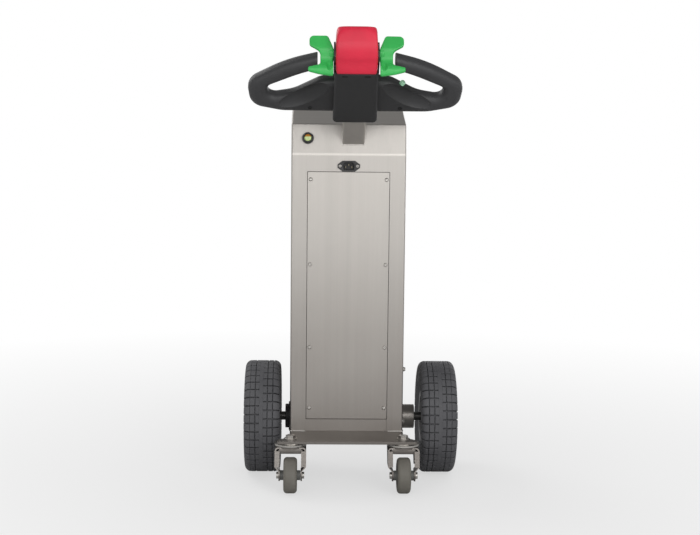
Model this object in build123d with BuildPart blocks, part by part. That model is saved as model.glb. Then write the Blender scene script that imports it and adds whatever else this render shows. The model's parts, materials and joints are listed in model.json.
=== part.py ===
"""Pedestrian electric tow tractor: a stainless column on driven wheels and castors, with a moulded tiller.

Millimetres. +X is the operator's right, +Y points forwards to the coupling, +Z is up, and the floor is z = 0.
"""
import os
from math import cos, radians, sin, tan

from build123d import *

os.makedirs("parts", exist_ok=True)

# General clearances
RUNNING = 0.05
SEAT_GAP = 0.2
FACE_GAP = 0.4

# Placing on the floor: x = 0 lies midway between the drive wheels
AXLE_Y = 65.9
COLUMN_X = -10.0

# Drive wheels
TYRE_RADIUS = 130.0
TYRE_WIDTH = 82.0
TYRE_SHOULDER = 14.0
TYRE_BORE_RADIUS = 52.0
TYRE_BEAD_STEP = 3.0
TYRE_SIDEWALL_RISE = 22.0
TYRE_INNER_X = 162.0
RIM_FLANGE_RADIUS = 62.0
RIM_FLANGE = 4.0
RIM_WIDTH = 62.0
RIM_BARREL_WALL = 4.0
RIM_DISC = 6.0
RIM_DISH = 14.0
RIM_HOLES = 6
RIM_HOLE_RADIUS = 5.5
RIM_LIP = 1.5
HUB_RADIUS = 26.0
HUB_LENGTH = 60.0
HUB_EDGE = 3.0
SHAFT_RADIUS = 10.0
SHAFT_NUT_ACROSS = 28.0
SHAFT_NUT = 6.0

# Column, a welded box of folded sheet
SHEET = 2.5
COLUMN_WIDTH = 258.0
REAR_FACE_Y = AXLE_Y - 97.5
COLUMN_DEPTH = 172.0
FOLD_Z = 748.0
PANEL_HEIGHT = 68.0
PANEL_LEAN = 11.0
TOP_SLOPE = 14.0
FOLD_RADIUS = 4.0

# Service cover in the rear face
COVER_WIDTH = 184.0
COVER_BOTTOM_Z = 144.5
COVER_TOP_Z = 708.5
COVER_GAP = 1.0
COVER_LEDGE = 12.0
COVER_CORNER = 3.0

# Front panel
FRONT_PANEL_MARGIN = 10.0
FRONT_PANEL_BOTTOM_Z = 300.0
FRONT_LIP = 16.0

# Base plate with ears over the castors
PLATE = 6.0
PLATE_TOP_Z = 116.0
PLATE_REAR_Y = AXLE_Y - 203.0
EAR_WIDTH = 312.0
EAR_DEPTH = 17.0
EAR_FLARE = 28.0
EAR_CORNER = 6.0

# Castors
CASTOR_SPACING = 252.0
CASTOR_Y = AXLE_Y - 172.0
CASTOR_TRAIL = 30.0
CASTOR_WHEEL_RADIUS = 40.0
CASTOR_WHEEL_WIDTH = 30.0
CASTOR_CROWN = 8.0
CASTOR_TREAD = 11.0
CASTOR_WEB = 22.0
CASTOR_HUB_RADIUS = 11.0
CASTOR_AXLE_RADIUS = 4.0
CASTOR_NUT_RADIUS = 7.5
CASTOR_NUT = 5.0
FORK_SHEET = 3.0
FORK_WIDTH = 70.0
FORK_LIP = 11.0
FORK_SHOULDER = 8.0
FORK_FOOT_WIDTH = 52.0
FORK_DEPTH = 52.0
FORK_LEG_END_RADIUS = 13.0
FORK_SLANT_TOP_Z = 60.0
FORK_SLANT_BOTTOM_Z = 50.0
FORK_REACH = 80.0
RACE_HEIGHT = 8.0
RACE_NECK_RADIUS = 28.0
RACE_RING_RADIUS = 36.5
RACE_RING = 4.0
RACE_RING_DROP = 2.5
CROWN_RADIUS = 33.0
KINGPIN_RADIUS = 6.0
BOLT_HEAD_ACROSS = 19.0
BOLT_HEAD = 8.0
KINGPIN_NUT_RADIUS = 13.0
KINGPIN_NUT = 4.0

# Drive unit and battery, two plain masses
DRIVE_LENGTH = 196.0
DRIVE_DEPTH = 112.0
DRIVE_HEIGHT = 118.0
DRIVE_BOTTOM_Z = 78.0
DRIVE_EDGE = 10.0
AXLE_TUBE_RADIUS = 28.0
AXLE_TUBE_CLEARANCE = 11.0
BATTERY_WIDTH = 196.0
BATTERY_DEPTH = 92.0
BATTERY_HEIGHT = 340.0
BATTERY_REAR_GAP = 14.0

# Charging inlet and key switch
INLET_Z = 722.0
INLET_WIDTH = 50.0
INLET_HEIGHT = 24.0
INLET_FLANGE = 3.0
INLET_BODY_WIDTH = 28.0
INLET_BODY_HEIGHT = 20.0
INLET_DEPTH = 26.0
INLET_MOUTH_WIDTH = 24.0
INLET_MOUTH_HEIGHT = 16.0
INLET_MOUTH_DEPTH = 17.0
INLET_MOUTH_CORNER = 4.0
INLET_PIN_PITCH = 7.0
INLET_PIN_RISE = 2.5
INLET_PIN_LENGTH = 11.0
INLET_PIN_WIDTH = 4.0
INLET_PIN = 2.0
KEY_X = -102.0
KEY_UP_PANEL = 36.0
KEY_BEZEL_RADIUS = 13.0
KEY_BEZEL = 7.0
KEY_BEZEL_EDGE = 2.0
KEY_LENS_RADIUS = 8.0
KEY_LENS = 3.0

# Tiller, drawn in a plane that rises towards the operator
TILLER_RISE = 45.0
TILLER_ROOT_UP_PANEL = 37.0
STEM_WIDTH = 50.0
STEM_HEIGHT = 25.0
STEM_WALL = 3.0
STEM_CORNER = 4.0
STEM_END = 140.0
HEAD_WIDTH = 92.0
HEAD_START = 82.0
HEAD_END = 228.0
HEAD_UNDER = 34.0
HEAD_OVER = 30.0
HEAD_CORNER = 14.0
HEAD_EDGE = 6.0
COVER_FOOT_WIDTH = 97.0
COVER_FOOT_CORNER = 10.0
COVER_EDGE = 5.0
CHEEK = 1.4
CHEEK_PROUD = 2.0
CHEEK_INSET = 14.0
CHEEK_ROOT = 40.0

# Grip loops on each side of the tiller head: outlines in the tiller plane, measured out from the head's side
GRIP_THICKNESS = 34.0
GRIP_EDGE = 14.5
GRIP_START_OUT = 14.0
GRIP_END_OUT = 36.0
GRIP_END_EDGE = 2.0
WING_SHOULDER = (31.0, 184.0)
WING_VALLEY = (89.0, 146.0)
# columns: distance out, distance along, corner radius
GRIP_OUTER = (
    (104.0, 231.0, 300.0),
    (187.0, 177.0, 38.0),
    (181.0, 112.0, 36.0),
    (114.0, 95.0, 90.0),
)
GRIP_INNER = (
    (*WING_SHOULDER, 40.0),
    (*WING_VALLEY, 80.0),
    (141.0, 135.0, 16.0),
    (143.0, 168.0, 16.0),
    (74.0, 204.0, 400.0),
)
GRIP_OUTER_START = 260.0
GRIP_INNER_START = 226.0
WING_LOW = 94.0
WING_ROOT = 190.0
SCOOP_FOOT = (24.0, 176.0)
SCOOP_TIP = (106.0, 126.0)
SCOOP_RADIUS = 32.0
SCOOP_DIP = 13.0

# Belly button: side profile in the tiller's side view, crowned across its top
BUTTON_GAP = 0.3
BUTTON_UNDER = 33.0
BUTTON_OVER = 36.0
BUTTON_HEEL = 33.0
BUTTON_NOSE = 77.0
BUTTON_NOSE_OVER = 26.0
BUTTON_TOP = 72.0
BUTTON_BULGE = 2.5
BUTTON_HEEL_ROUND = 7.0
BUTTON_NOSE_ROUND = 5.0
BUTTON_CROWN = 7.0
BUTTON_BOW = 2.0
BUTTON_CORNER = 9.0

# Drive paddles beside the belly button, and the horn on the right wing
PADDLE_ALONG = 253.0
PADDLE_LEAN = 21.7
PADDLE_FORWARD = 5.0
PADDLE = 8.0
PADDLE_EDGE = 2.5
PADDLE_BOSS_RADIUS = 11.0
PADDLE_BOSS_SINK = 8.0
PADDLE_INNER_OUT = 3.0
PADDLE_BACK_OUT = 30.5
# columns: distance out, height in the paddle's own plane, corner radius
PADDLE_OUTLINE = (
    (PADDLE_INNER_OUT, -50.0, 4.0),
    (34.0, -46.0, 20.0),
    (56.5, -41.0, 4.0),
    (55.5, -32.0, 4.0),
    (PADDLE_BACK_OUT, -24.0, 9.0),
    (PADDLE_BACK_OUT, 4.0, 12.0),
    (53.5, 17.0, 8.0),
    (54.0, 41.0, 10.0),
    (14.5, 41.5, 8.0),
    (PADDLE_INNER_OUT, 11.0, 16.0),
)
HORN_OUT = 53.0
HORN_RADIUS = 6.0
HORN_HEIGHT = 8.0

# Front coupling: a drop-on pin on a bracket
BRACKET_WIDTH = 140.0
BRACKET_CORNER = 10.0
BRACKET_HEIGHT = 120.0
BRACKET_BOTTOM_Z = 142.0
BRACKET_PLATE = 8.0
TONGUE_WIDTH = 70.0
TONGUE_LENGTH = 84.0
TONGUE = 12.0
TONGUE_Z = 190.0
TONGUE_CORNER = 20.0
RIB = 8.0
RIB_HEIGHT = 36.0
TOW_PIN_RADIUS = 10.0
TOW_PIN_HEIGHT = 58.0
TOW_PIN_SETBACK = 30.0
TOW_PIN_NOSE = 3.0
TOW_COLLAR_RADIUS = 18.0
TOW_COLLAR = 6.0

# Levels and places worked out from the sizes above
FRONT_FACE_Y = REAR_FACE_Y + COLUMN_DEPTH
PANEL_TOP_Y = REAR_FACE_Y + PANEL_HEIGHT * tan(radians(PANEL_LEAN))
PANEL_TOP_Z = FOLD_Z + PANEL_HEIGHT
TOP_FRONT_Z = PANEL_TOP_Z + (FRONT_FACE_Y - PANEL_TOP_Y) * tan(radians(TOP_SLOPE))
PLATE_UNDER_Z = PLATE_TOP_Z - PLATE
OPENING_HEIGHT = COVER_TOP_Z + COVER_GAP - PLATE_TOP_Z
FRONT_PANEL_WIDTH = COLUMN_WIDTH - 2 * FRONT_PANEL_MARGIN
FRONT_PANEL_TOP_Z = TOP_FRONT_Z - FRONT_PANEL_MARGIN
RACE_BOTTOM_Z = PLATE_UNDER_Z - RACE_HEIGHT
CROWN_TOP_Z = RACE_BOTTOM_Z - FACE_GAP
CROWN_UNDER_Z = CROWN_TOP_Z - FORK_SHEET
CASTOR_AXLE_Y = CASTOR_Y - CASTOR_TRAIL
SIDES = {"left": -1, "right": 1}

panel_up = Vector(0, sin(radians(PANEL_LEAN)), cos(radians(PANEL_LEAN)))
panel_out = Vector(0, -cos(radians(PANEL_LEAN)), sin(radians(PANEL_LEAN)))
panel_foot = Vector(0, REAR_FACE_Y, FOLD_Z)

# In the tiller plane local x is across, local y runs along the stem and local z points out of the underside
tiller_along = Vector(0, -cos(radians(TILLER_RISE)), sin(radians(TILLER_RISE)))
tiller_under = Vector(0, -sin(radians(TILLER_RISE)), -cos(radians(TILLER_RISE)))
tiller_root = panel_foot + panel_up * TILLER_ROOT_UP_PANEL
tiller_plane = Plane(origin=tiller_root, x_dir=(1, 0, 0), z_dir=tiller_under)
tiller_side = Plane(origin=tiller_root, x_dir=tiller_along, z_dir=(1, 0, 0))
head_side = HEAD_WIDTH / 2


def keep(builder, name):
    """Label one finished piece and write it to its own file."""
    builder.part.label = name
    export_step(builder.part, f"parts/{name}.step")


# Column shell: sides, rear frame, inclined panel and sloping top in one welded sheet
with BuildPart() as column_shell:
    with BuildSketch(Plane.YZ.offset(COLUMN_X)) as column_side:
        with BuildLine():
            Polyline(
                (REAR_FACE_Y, PLATE_TOP_Z),
                (REAR_FACE_Y, FOLD_Z),
                (PANEL_TOP_Y, PANEL_TOP_Z),
                (FRONT_FACE_Y, TOP_FRONT_Z),
                (FRONT_FACE_Y, PLATE_TOP_Z),
                close=True,
            )
        make_face()
        folds = column_side.vertices().filter_by(lambda v: v.Y > PLATE_TOP_Z + FOLD_RADIUS)
        fillet(folds, FOLD_RADIUS)
    extrude(amount=COLUMN_WIDTH / 2, both=True)
    fillet(column_shell.edges().filter_by(Axis.Z), FOLD_RADIUS)
    with BuildSketch(Plane.YZ.offset(COLUMN_X)):
        add(column_side.sketch_local)
        offset(amount=-SHEET, kind=Kind.INTERSECTION, mode=Mode.REPLACE)
    extrude(amount=COLUMN_WIDTH / 2 - SHEET, both=True, mode=Mode.SUBTRACT)
    with BuildSketch(Plane.XY.offset(PLATE_TOP_Z)):
        with Locations((COLUMN_X, (REAR_FACE_Y + FRONT_FACE_Y) / 2)):
            Rectangle(COLUMN_WIDTH - 2 * SHEET, COLUMN_DEPTH - 2 * SHEET)
    extrude(amount=2 * SHEET, mode=Mode.SUBTRACT)
    # opening for the service cover, and the ledge behind it that the cover screws to
    with BuildSketch(Plane.XZ.offset(-REAR_FACE_Y)):
        with Locations((COLUMN_X, PLATE_TOP_Z + OPENING_HEIGHT / 2)):
            Rectangle(COVER_WIDTH + 2 * COVER_GAP, OPENING_HEIGHT)
    extrude(amount=-SHEET, mode=Mode.SUBTRACT)
    with BuildSketch(Plane.XZ.offset(-REAR_FACE_Y - SHEET)):
        with Locations((COLUMN_X, PLATE_TOP_Z + (OPENING_HEIGHT + COVER_LEDGE) / 2)):
            Rectangle(COVER_WIDTH + 2 * COVER_LEDGE, OPENING_HEIGHT + COVER_LEDGE)
        with Locations((COLUMN_X, (COVER_BOTTOM_Z + COVER_TOP_Z) / 2)):
            Rectangle(
                COVER_WIDTH - 2 * COVER_LEDGE,
                COVER_TOP_Z - COVER_BOTTOM_Z - 2 * COVER_LEDGE,
                mode=Mode.SUBTRACT,
            )
    extrude(amount=-SHEET)
    # opening behind the front panel
    with BuildSketch(Plane.XZ.offset(-FRONT_FACE_Y)):
        with Locations((COLUMN_X, (FRONT_PANEL_TOP_Z + FRONT_PANEL_BOTTOM_Z) / 2)):
            Rectangle(
                FRONT_PANEL_WIDTH - 2 * FRONT_LIP,
                FRONT_PANEL_TOP_Z - FRONT_PANEL_BOTTOM_Z - 2 * FRONT_LIP,
            )
    extrude(amount=SHEET, mode=Mode.SUBTRACT)
    # holes for the axle tubes and the charging inlet
    with BuildSketch(Plane.YZ.offset(COLUMN_X)):
        with Locations((AXLE_Y, TYRE_RADIUS)):
            Circle(AXLE_TUBE_RADIUS + SEAT_GAP)
    extrude(amount=COLUMN_WIDTH, both=True, mode=Mode.SUBTRACT)
    with BuildSketch(Plane.XZ.offset(-REAR_FACE_Y)):
        with Locations((COLUMN_X, INLET_Z)):
            Rectangle(INLET_BODY_WIDTH + 2 * SEAT_GAP, INLET_BODY_HEIGHT + 2 * SEAT_GAP)
    extrude(amount=-3 * SHEET, mode=Mode.SUBTRACT)
keep(column_shell, "column_shell")

# Service cover, flush in its opening
with BuildPart() as service_cover:
    with BuildSketch(Plane.XZ.offset(-REAR_FACE_Y)):
        with Locations((COLUMN_X, (COVER_BOTTOM_Z + COVER_TOP_Z) / 2)):
            RectangleRounded(COVER_WIDTH, COVER_TOP_Z - COVER_BOTTOM_Z, COVER_CORNER)
    extrude(amount=-SHEET)
keep(service_cover, "service_cover")

# Front panel, lapped over its opening
with BuildPart() as front_panel:
    with BuildSketch(Plane.XZ.offset(-FRONT_FACE_Y)):
        with Locations((COLUMN_X, (FRONT_PANEL_TOP_Z + FRONT_PANEL_BOTTOM_Z) / 2)):
            RectangleRounded(FRONT_PANEL_WIDTH, FRONT_PANEL_TOP_Z - FRONT_PANEL_BOTTOM_Z, COVER_CORNER)
    extrude(amount=-SHEET)
keep(front_panel, "front_panel")

# Base plate: as wide as the column, from the drive unit back to its flared ears over the castors
with BuildPart() as base_plate:
    with BuildSketch(Plane.XY.offset(PLATE_UNDER_Z)) as plate_outline:
        with BuildLine():
            half = COLUMN_WIDTH / 2
            ear_front_y = PLATE_REAR_Y + EAR_DEPTH
            plate_front_y = AXLE_Y - DRIVE_DEPTH / 2 - SEAT_GAP
            Polyline(
                (COLUMN_X, plate_front_y),
                (COLUMN_X + half, plate_front_y),
                (COLUMN_X + half, ear_front_y + EAR_FLARE),
                (COLUMN_X + EAR_WIDTH / 2, ear_front_y),
                (COLUMN_X + EAR_WIDTH / 2, PLATE_REAR_Y),
                (COLUMN_X, PLATE_REAR_Y),
            )
            mirror(about=Plane.YZ.offset(COLUMN_X))
        make_face()
        fillet(plate_outline.vertices().filter_by(lambda v: abs(v.X - COLUMN_X) > half + 1), EAR_CORNER)
        with Locations(*((COLUMN_X + side * CASTOR_SPACING / 2, CASTOR_Y) for side in SIDES.values())):
            Circle(KINGPIN_RADIUS + SEAT_GAP, mode=Mode.SUBTRACT)
    extrude(amount=PLATE)
keep(base_plate, "base_plate")

# Drive unit, a plain mass on the axle in front of the base plate
with BuildPart() as drive_unit:
    with BuildSketch(Plane.YZ.offset(COLUMN_X)):
        with Locations((AXLE_Y, DRIVE_BOTTOM_Z + DRIVE_HEIGHT / 2)):
            RectangleRounded(DRIVE_DEPTH, DRIVE_HEIGHT, DRIVE_EDGE)
    extrude(amount=DRIVE_LENGTH / 2, both=True)
keep(drive_unit, "drive_unit")

# Axle tubes from the drive unit through the column's sides, one long and one short
for name, side in SIDES.items():
    with BuildPart() as axle_tube:
        with BuildSketch(Plane.YZ.offset(COLUMN_X + side * DRIVE_LENGTH / 2)):
            with Locations((AXLE_Y, TYRE_RADIUS)):
                Circle(AXLE_TUBE_RADIUS)
                Circle(SHAFT_RADIUS + RUNNING, mode=Mode.SUBTRACT)
        reach = TYRE_INNER_X - AXLE_TUBE_CLEARANCE - side * COLUMN_X - DRIVE_LENGTH / 2
        extrude(amount=side * reach)
    keep(axle_tube, f"{name}_axle_tube")

# Battery pack, a plain mass in the column above the drive unit
with BuildPart() as battery_pack:
    with BuildSketch(Plane.XY.offset(DRIVE_BOTTOM_Z + DRIVE_HEIGHT)):
        with Locations((COLUMN_X, REAR_FACE_Y + SHEET + BATTERY_REAR_GAP + BATTERY_DEPTH / 2)):
            Rectangle(BATTERY_WIDTH, BATTERY_DEPTH)
    extrude(amount=BATTERY_HEIGHT)
keep(battery_pack, "battery_pack")

# Drive wheels: tyre, pressed rim with hub, and the shaft that turns with them
wheel_axis = Axis((0, AXLE_Y, TYRE_RADIUS), (1, 0, 0))
for name, side in SIDES.items():
    middle_x = side * (TYRE_INNER_X + TYRE_WIDTH / 2)
    wheel_section = Plane(origin=(middle_x, AXLE_Y, TYRE_RADIUS), x_dir=(side, 0, 0), z_dir=(0, -side, 0))
    with BuildPart() as tyre:
        with BuildSketch(wheel_section) as tyre_section:
            with BuildLine():
                bead = RIM_WIDTH / 2
                wall = TYRE_WIDTH / 2
                Polyline(
                    (0, TYRE_BORE_RADIUS),
                    (bead, TYRE_BORE_RADIUS),
                    (bead, RIM_FLANGE_RADIUS + TYRE_BEAD_STEP),
                    (wall, RIM_FLANGE_RADIUS + TYRE_BEAD_STEP + TYRE_SIDEWALL_RISE),
                    (wall, TYRE_RADIUS),
                    (0, TYRE_RADIUS),
                )
                mirror(about=Plane.YZ)
            make_face()
            shoulders = tyre_section.vertices().group_by(Axis.Y)[-1]
            fillet(shoulders.filter_by(lambda v: abs(v.X) > bead), TYRE_SHOULDER)
        revolve(axis=wheel_axis)
    keep(tyre, f"{name}_drive_tyre")

    with BuildPart() as rim:
        with BuildSketch(wheel_section):
            barrel_outer = TYRE_BORE_RADIUS - SEAT_GAP
            barrel_middle = barrel_outer - RIM_BARREL_WALL / 2
            flange_middle = RIM_WIDTH / 2 + SEAT_GAP + RIM_FLANGE / 2
            flange_height = RIM_FLANGE_RADIUS - barrel_outer + RIM_BARREL_WALL
            with Locations((0, barrel_middle)):
                Rectangle(2 * flange_middle, RIM_BARREL_WALL)
            with Locations((flange_middle, RIM_FLANGE_RADIUS - flange_height / 2)):
                Rectangle(RIM_FLANGE, flange_height)
            with Locations((-flange_middle, RIM_FLANGE_RADIUS - flange_height / 2)):
                Rectangle(RIM_FLANGE, flange_height)
            Polygon(
                (-RIM_DISC / 2, barrel_middle),
                (RIM_DISC / 2, barrel_middle),
                (RIM_DISH + RIM_DISC / 2, HUB_RADIUS - HUB_EDGE),
                (RIM_DISH - RIM_DISC / 2, HUB_RADIUS - HUB_EDGE),
                align=None,
            )
            with Locations((0, (HUB_RADIUS + SHAFT_RADIUS + RUNNING) / 2)):
                Rectangle(HUB_LENGTH, HUB_RADIUS - SHAFT_RADIUS - RUNNING)
        revolve(axis=wheel_axis)
        hub_face = rim.faces().filter_by(Plane.YZ).filter_by(
            lambda f: abs(abs(f.center().X - middle_x) - HUB_LENGTH / 2) < RUNNING
        )
        fillet(hub_face.edges().filter_by(lambda e: e.radius > SHAFT_RADIUS + HUB_EDGE), HUB_EDGE)
        flange_rims = rim.edges().filter_by(GeomType.CIRCLE).filter_by(
            lambda e: e.radius > RIM_FLANGE_RADIUS - RUNNING
        )
        fillet(flange_rims, RIM_LIP)
        # round holes through the dished disc
        with BuildSketch(Plane.YZ.offset(middle_x)):
            with Locations((AXLE_Y, TYRE_RADIUS)):
                with PolarLocations((HUB_RADIUS + barrel_middle) / 2, RIM_HOLES):
                    Circle(RIM_HOLE_RADIUS)
        extrude(amount=RIM_WIDTH / 2, both=True, mode=Mode.SUBTRACT)
    keep(rim, f"{name}_drive_rim")

    with BuildPart() as shaft:
        with BuildSketch(Plane.YZ.offset(COLUMN_X + side * (DRIVE_LENGTH / 2 + FACE_GAP))):
            with Locations((AXLE_Y, TYRE_RADIUS)):
                Circle(SHAFT_RADIUS)
        shaft_length = abs(middle_x) + HUB_LENGTH / 2 - side * COLUMN_X - DRIVE_LENGTH / 2 - FACE_GAP
        extrude(amount=side * shaft_length)
        with BuildSketch(Plane.YZ.offset(middle_x + side * HUB_LENGTH / 2)):
            with Locations((AXLE_Y, TYRE_RADIUS)):
                RegularPolygon(SHAFT_NUT_ACROSS / 2, 6, major_radius=False)
        extrude(amount=side * SHAFT_NUT)
    keep(shaft, f"{name}_drive_shaft")

# Castors: kingpin head, pressed fork, axle, tyre and hub
for name, side in SIDES.items():
    castor_x = COLUMN_X + side * CASTOR_SPACING / 2
    roll_axis = Axis((castor_x, CASTOR_AXLE_Y, CASTOR_WHEEL_RADIUS), (1, 0, 0))
    roll_section = Plane(
        origin=(castor_x, CASTOR_AXLE_Y, CASTOR_WHEEL_RADIUS), x_dir=(1, 0, 0), z_dir=(0, -1, 0)
    )

    with BuildPart() as castor_head:
        with BuildSketch(Plane.XY.offset(PLATE_TOP_Z)):
            with Locations((castor_x, CASTOR_Y)):
                RegularPolygon(BOLT_HEAD_ACROSS / 2, 6, major_radius=False)
        extrude(amount=BOLT_HEAD)
        with BuildSketch(Plane.XY.offset(PLATE_TOP_Z)):
            with Locations((castor_x, CASTOR_Y)):
                Circle(KINGPIN_RADIUS)
        extrude(amount=CROWN_UNDER_Z - FACE_GAP - KINGPIN_NUT - PLATE_TOP_Z)
        with BuildSketch(Plane.XY.offset(PLATE_UNDER_Z)):
            with Locations((castor_x, CASTOR_Y)):
                Circle(RACE_NECK_RADIUS)
        extrude(amount=-RACE_HEIGHT)
        with BuildSketch(Plane.XY.offset(PLATE_UNDER_Z - RACE_RING_DROP)):
            with Locations((castor_x, CASTOR_Y)):
                Circle(RACE_RING_RADIUS)
        extrude(amount=-RACE_RING)
        with BuildSketch(Plane.XY.offset(CROWN_UNDER_Z - FACE_GAP)):
            with Locations((castor_x, CASTOR_Y)):
                Circle(KINGPIN_NUT_RADIUS)
        extrude(amount=-KINGPIN_NUT)
    keep(castor_head, f"{name}_castor_head")

    with BuildPart() as castor_fork:
        # legs in side view, from the crown down and back to the axle
        with BuildSketch(Plane.YZ.offset(castor_x)) as leg_outline:
            with Locations((CASTOR_AXLE_Y, CASTOR_WHEEL_RADIUS)):
                Circle(FORK_LEG_END_RADIUS)
            with Locations((CASTOR_Y, CROWN_UNDER_Z)):
                Rectangle(FORK_DEPTH, 2 * FORK_SHEET)
            make_hull()
        extrude(amount=FORK_WIDTH / 2, both=True)
        # rear view: round shoulders and upright flanks that draw in to the axle, one sheet thick
        for inset, mode in ((0, Mode.INTERSECT), (FORK_SHEET, Mode.SUBTRACT)):
            with BuildSketch(Plane.XZ.offset(-CASTOR_Y)) as rear_outline:
                with BuildLine():
                    Polyline(
                        (castor_x, CROWN_TOP_Z - inset),
                        (castor_x + FORK_WIDTH / 2 - inset, CROWN_TOP_Z - inset),
                        (castor_x + FORK_WIDTH / 2 - inset, FORK_SLANT_TOP_Z),
                        (castor_x + FORK_FOOT_WIDTH / 2 - inset, FORK_SLANT_BOTTOM_Z),
                        (castor_x + FORK_FOOT_WIDTH / 2 - inset, 0),
                        (castor_x, 0),
                    )
                    mirror(about=Plane.YZ.offset(castor_x))
                make_face()
                shoulders = rear_outline.vertices().group_by(Axis.Y)[-1]
                fillet(shoulders.filter_by(lambda v: abs(v.X - castor_x) > FORK_LIP), FORK_SHOULDER - inset)
            extrude(amount=FORK_REACH, both=True, mode=mode)
        # stiffening lips turned inwards along the edges of the legs
        for end in SIDES.values():
            with BuildSketch(Plane.YZ.offset(castor_x + end * (FORK_WIDTH / 2 - FORK_LIP))):
                add(leg_outline.sketch_local)
                offset(leg_outline.sketch_local, amount=-FORK_SHEET, mode=Mode.SUBTRACT)
                lip_top_z = CROWN_TOP_Z - FORK_SHOULDER
                with Locations((CASTOR_Y, (FORK_SLANT_TOP_Z + lip_top_z) / 2)):
                    Rectangle(2 * FORK_REACH, lip_top_z - FORK_SLANT_TOP_Z, mode=Mode.INTERSECT)
            extrude(amount=end * FORK_LIP)
        with BuildSketch(Plane.XY.offset(CROWN_UNDER_Z)):
            with Locations((castor_x, CASTOR_Y)):
                Circle(CROWN_RADIUS)
        extrude(amount=FORK_SHEET)
        with BuildSketch(Plane.XY.offset(CROWN_UNDER_Z)):
            with Locations((castor_x, CASTOR_Y)):
                Circle(KINGPIN_RADIUS + RUNNING)
        extrude(amount=FORK_SHEET, mode=Mode.SUBTRACT)
        with BuildSketch(Plane.YZ.offset(castor_x)):
            with Locations((CASTOR_AXLE_Y, CASTOR_WHEEL_RADIUS)):
                Circle(CASTOR_AXLE_RADIUS + RUNNING)
        extrude(amount=FORK_WIDTH, both=True, mode=Mode.SUBTRACT)
    keep(castor_fork, f"{name}_castor_fork")

    with BuildPart() as castor_axle:
        with BuildSketch(Plane.YZ.offset(castor_x)):
            with Locations((CASTOR_AXLE_Y, CASTOR_WHEEL_RADIUS)):
                Circle(CASTOR_AXLE_RADIUS)
        extrude(amount=FORK_FOOT_WIDTH / 2 + CASTOR_NUT, both=True)
        for end in SIDES.values():
            with BuildSketch(Plane.YZ.offset(castor_x + end * FORK_FOOT_WIDTH / 2)):
                with Locations((CASTOR_AXLE_Y, CASTOR_WHEEL_RADIUS)):
                    Circle(CASTOR_NUT_RADIUS)
            extrude(amount=end * CASTOR_NUT)
    keep(castor_axle, f"{name}_castor_axle")

    with BuildPart() as castor_tyre:
        with BuildSketch(roll_section) as tread_section:
            with Locations((0, CASTOR_WHEEL_RADIUS - CASTOR_TREAD / 2)):
                Rectangle(CASTOR_WHEEL_WIDTH, CASTOR_TREAD)
            fillet(tread_section.vertices().group_by(Axis.Y)[-1], CASTOR_CROWN)
        revolve(axis=roll_axis)
    keep(castor_tyre, f"{name}_castor_tyre")

    with BuildPart() as castor_hub:
        with BuildSketch(roll_section):
            bore = CASTOR_AXLE_RADIUS + RUNNING
            web_radius = CASTOR_WHEEL_RADIUS - CASTOR_TREAD - SEAT_GAP
            hub_length = FORK_FOOT_WIDTH - 2 * FORK_SHEET - 2 * FACE_GAP
            with Locations((0, (bore + web_radius) / 2)):
                Rectangle(CASTOR_WEB, web_radius - bore)
            with Locations((0, (bore + CASTOR_HUB_RADIUS) / 2)):
                Rectangle(hub_length, CASTOR_HUB_RADIUS - bore)
        revolve(axis=roll_axis)
    keep(castor_hub, f"{name}_castor_hub")

# Charging inlet: a six-sided flange on a moulded socket with three blades
with BuildPart() as charging_inlet:
    inlet_face = Plane(origin=(COLUMN_X, REAR_FACE_Y, INLET_Z), x_dir=(1, 0, 0), z_dir=(0, -1, 0))
    with BuildSketch(inlet_face):
        Polygon(
            (INLET_WIDTH / 2, -INLET_HEIGHT / 6),
            (INLET_WIDTH / 2, INLET_HEIGHT / 6),
            (INLET_BODY_WIDTH / 2, INLET_HEIGHT / 2),
            (-INLET_BODY_WIDTH / 2, INLET_HEIGHT / 2),
            (-INLET_WIDTH / 2, INLET_HEIGHT / 6),
            (-INLET_WIDTH / 2, -INLET_HEIGHT / 6),
            (-INLET_BODY_WIDTH / 2, -INLET_HEIGHT / 2),
            (INLET_BODY_WIDTH / 2, -INLET_HEIGHT / 2),
            align=None,
        )
    extrude(amount=INLET_FLANGE)
    with BuildSketch(inlet_face):
        Rectangle(INLET_BODY_WIDTH, INLET_BODY_HEIGHT)
    extrude(amount=-INLET_DEPTH)
    with BuildSketch(inlet_face.offset(INLET_FLANGE)) as mouth:
        Rectangle(INLET_MOUTH_WIDTH, INLET_MOUTH_HEIGHT)
        chamfer(mouth.vertices().group_by(Axis.Y)[-1], INLET_MOUTH_CORNER)
    extrude(amount=-INLET_MOUTH_DEPTH, mode=Mode.SUBTRACT)
keep(charging_inlet, "charging_inlet")

with BuildPart() as inlet_pins:
    with BuildSketch(inlet_face.offset(INLET_FLANGE - INLET_MOUTH_DEPTH)):
        with Locations(
            (-INLET_PIN_PITCH, -INLET_PIN_RISE),
            (0, INLET_PIN_RISE),
            (INLET_PIN_PITCH, -INLET_PIN_RISE),
        ):
            Rectangle(INLET_PIN, INLET_PIN_WIDTH)
    extrude(amount=INLET_PIN_LENGTH)
keep(inlet_pins, "inlet_pins")

# Key switch on the inclined panel: a round bezel with an indicator lens
key_face = Plane(
    origin=panel_foot + panel_up * KEY_UP_PANEL + Vector(KEY_X, 0, 0), x_dir=(1, 0, 0), z_dir=panel_out
)
with BuildPart() as key_switch:
    with BuildSketch(key_face):
        Circle(KEY_BEZEL_RADIUS)
    extrude(amount=KEY_BEZEL)
    chamfer(key_switch.faces().sort_by(Axis(key_face.origin, panel_out))[-1].edges(), KEY_BEZEL_EDGE)
keep(key_switch, "key_switch")

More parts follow.
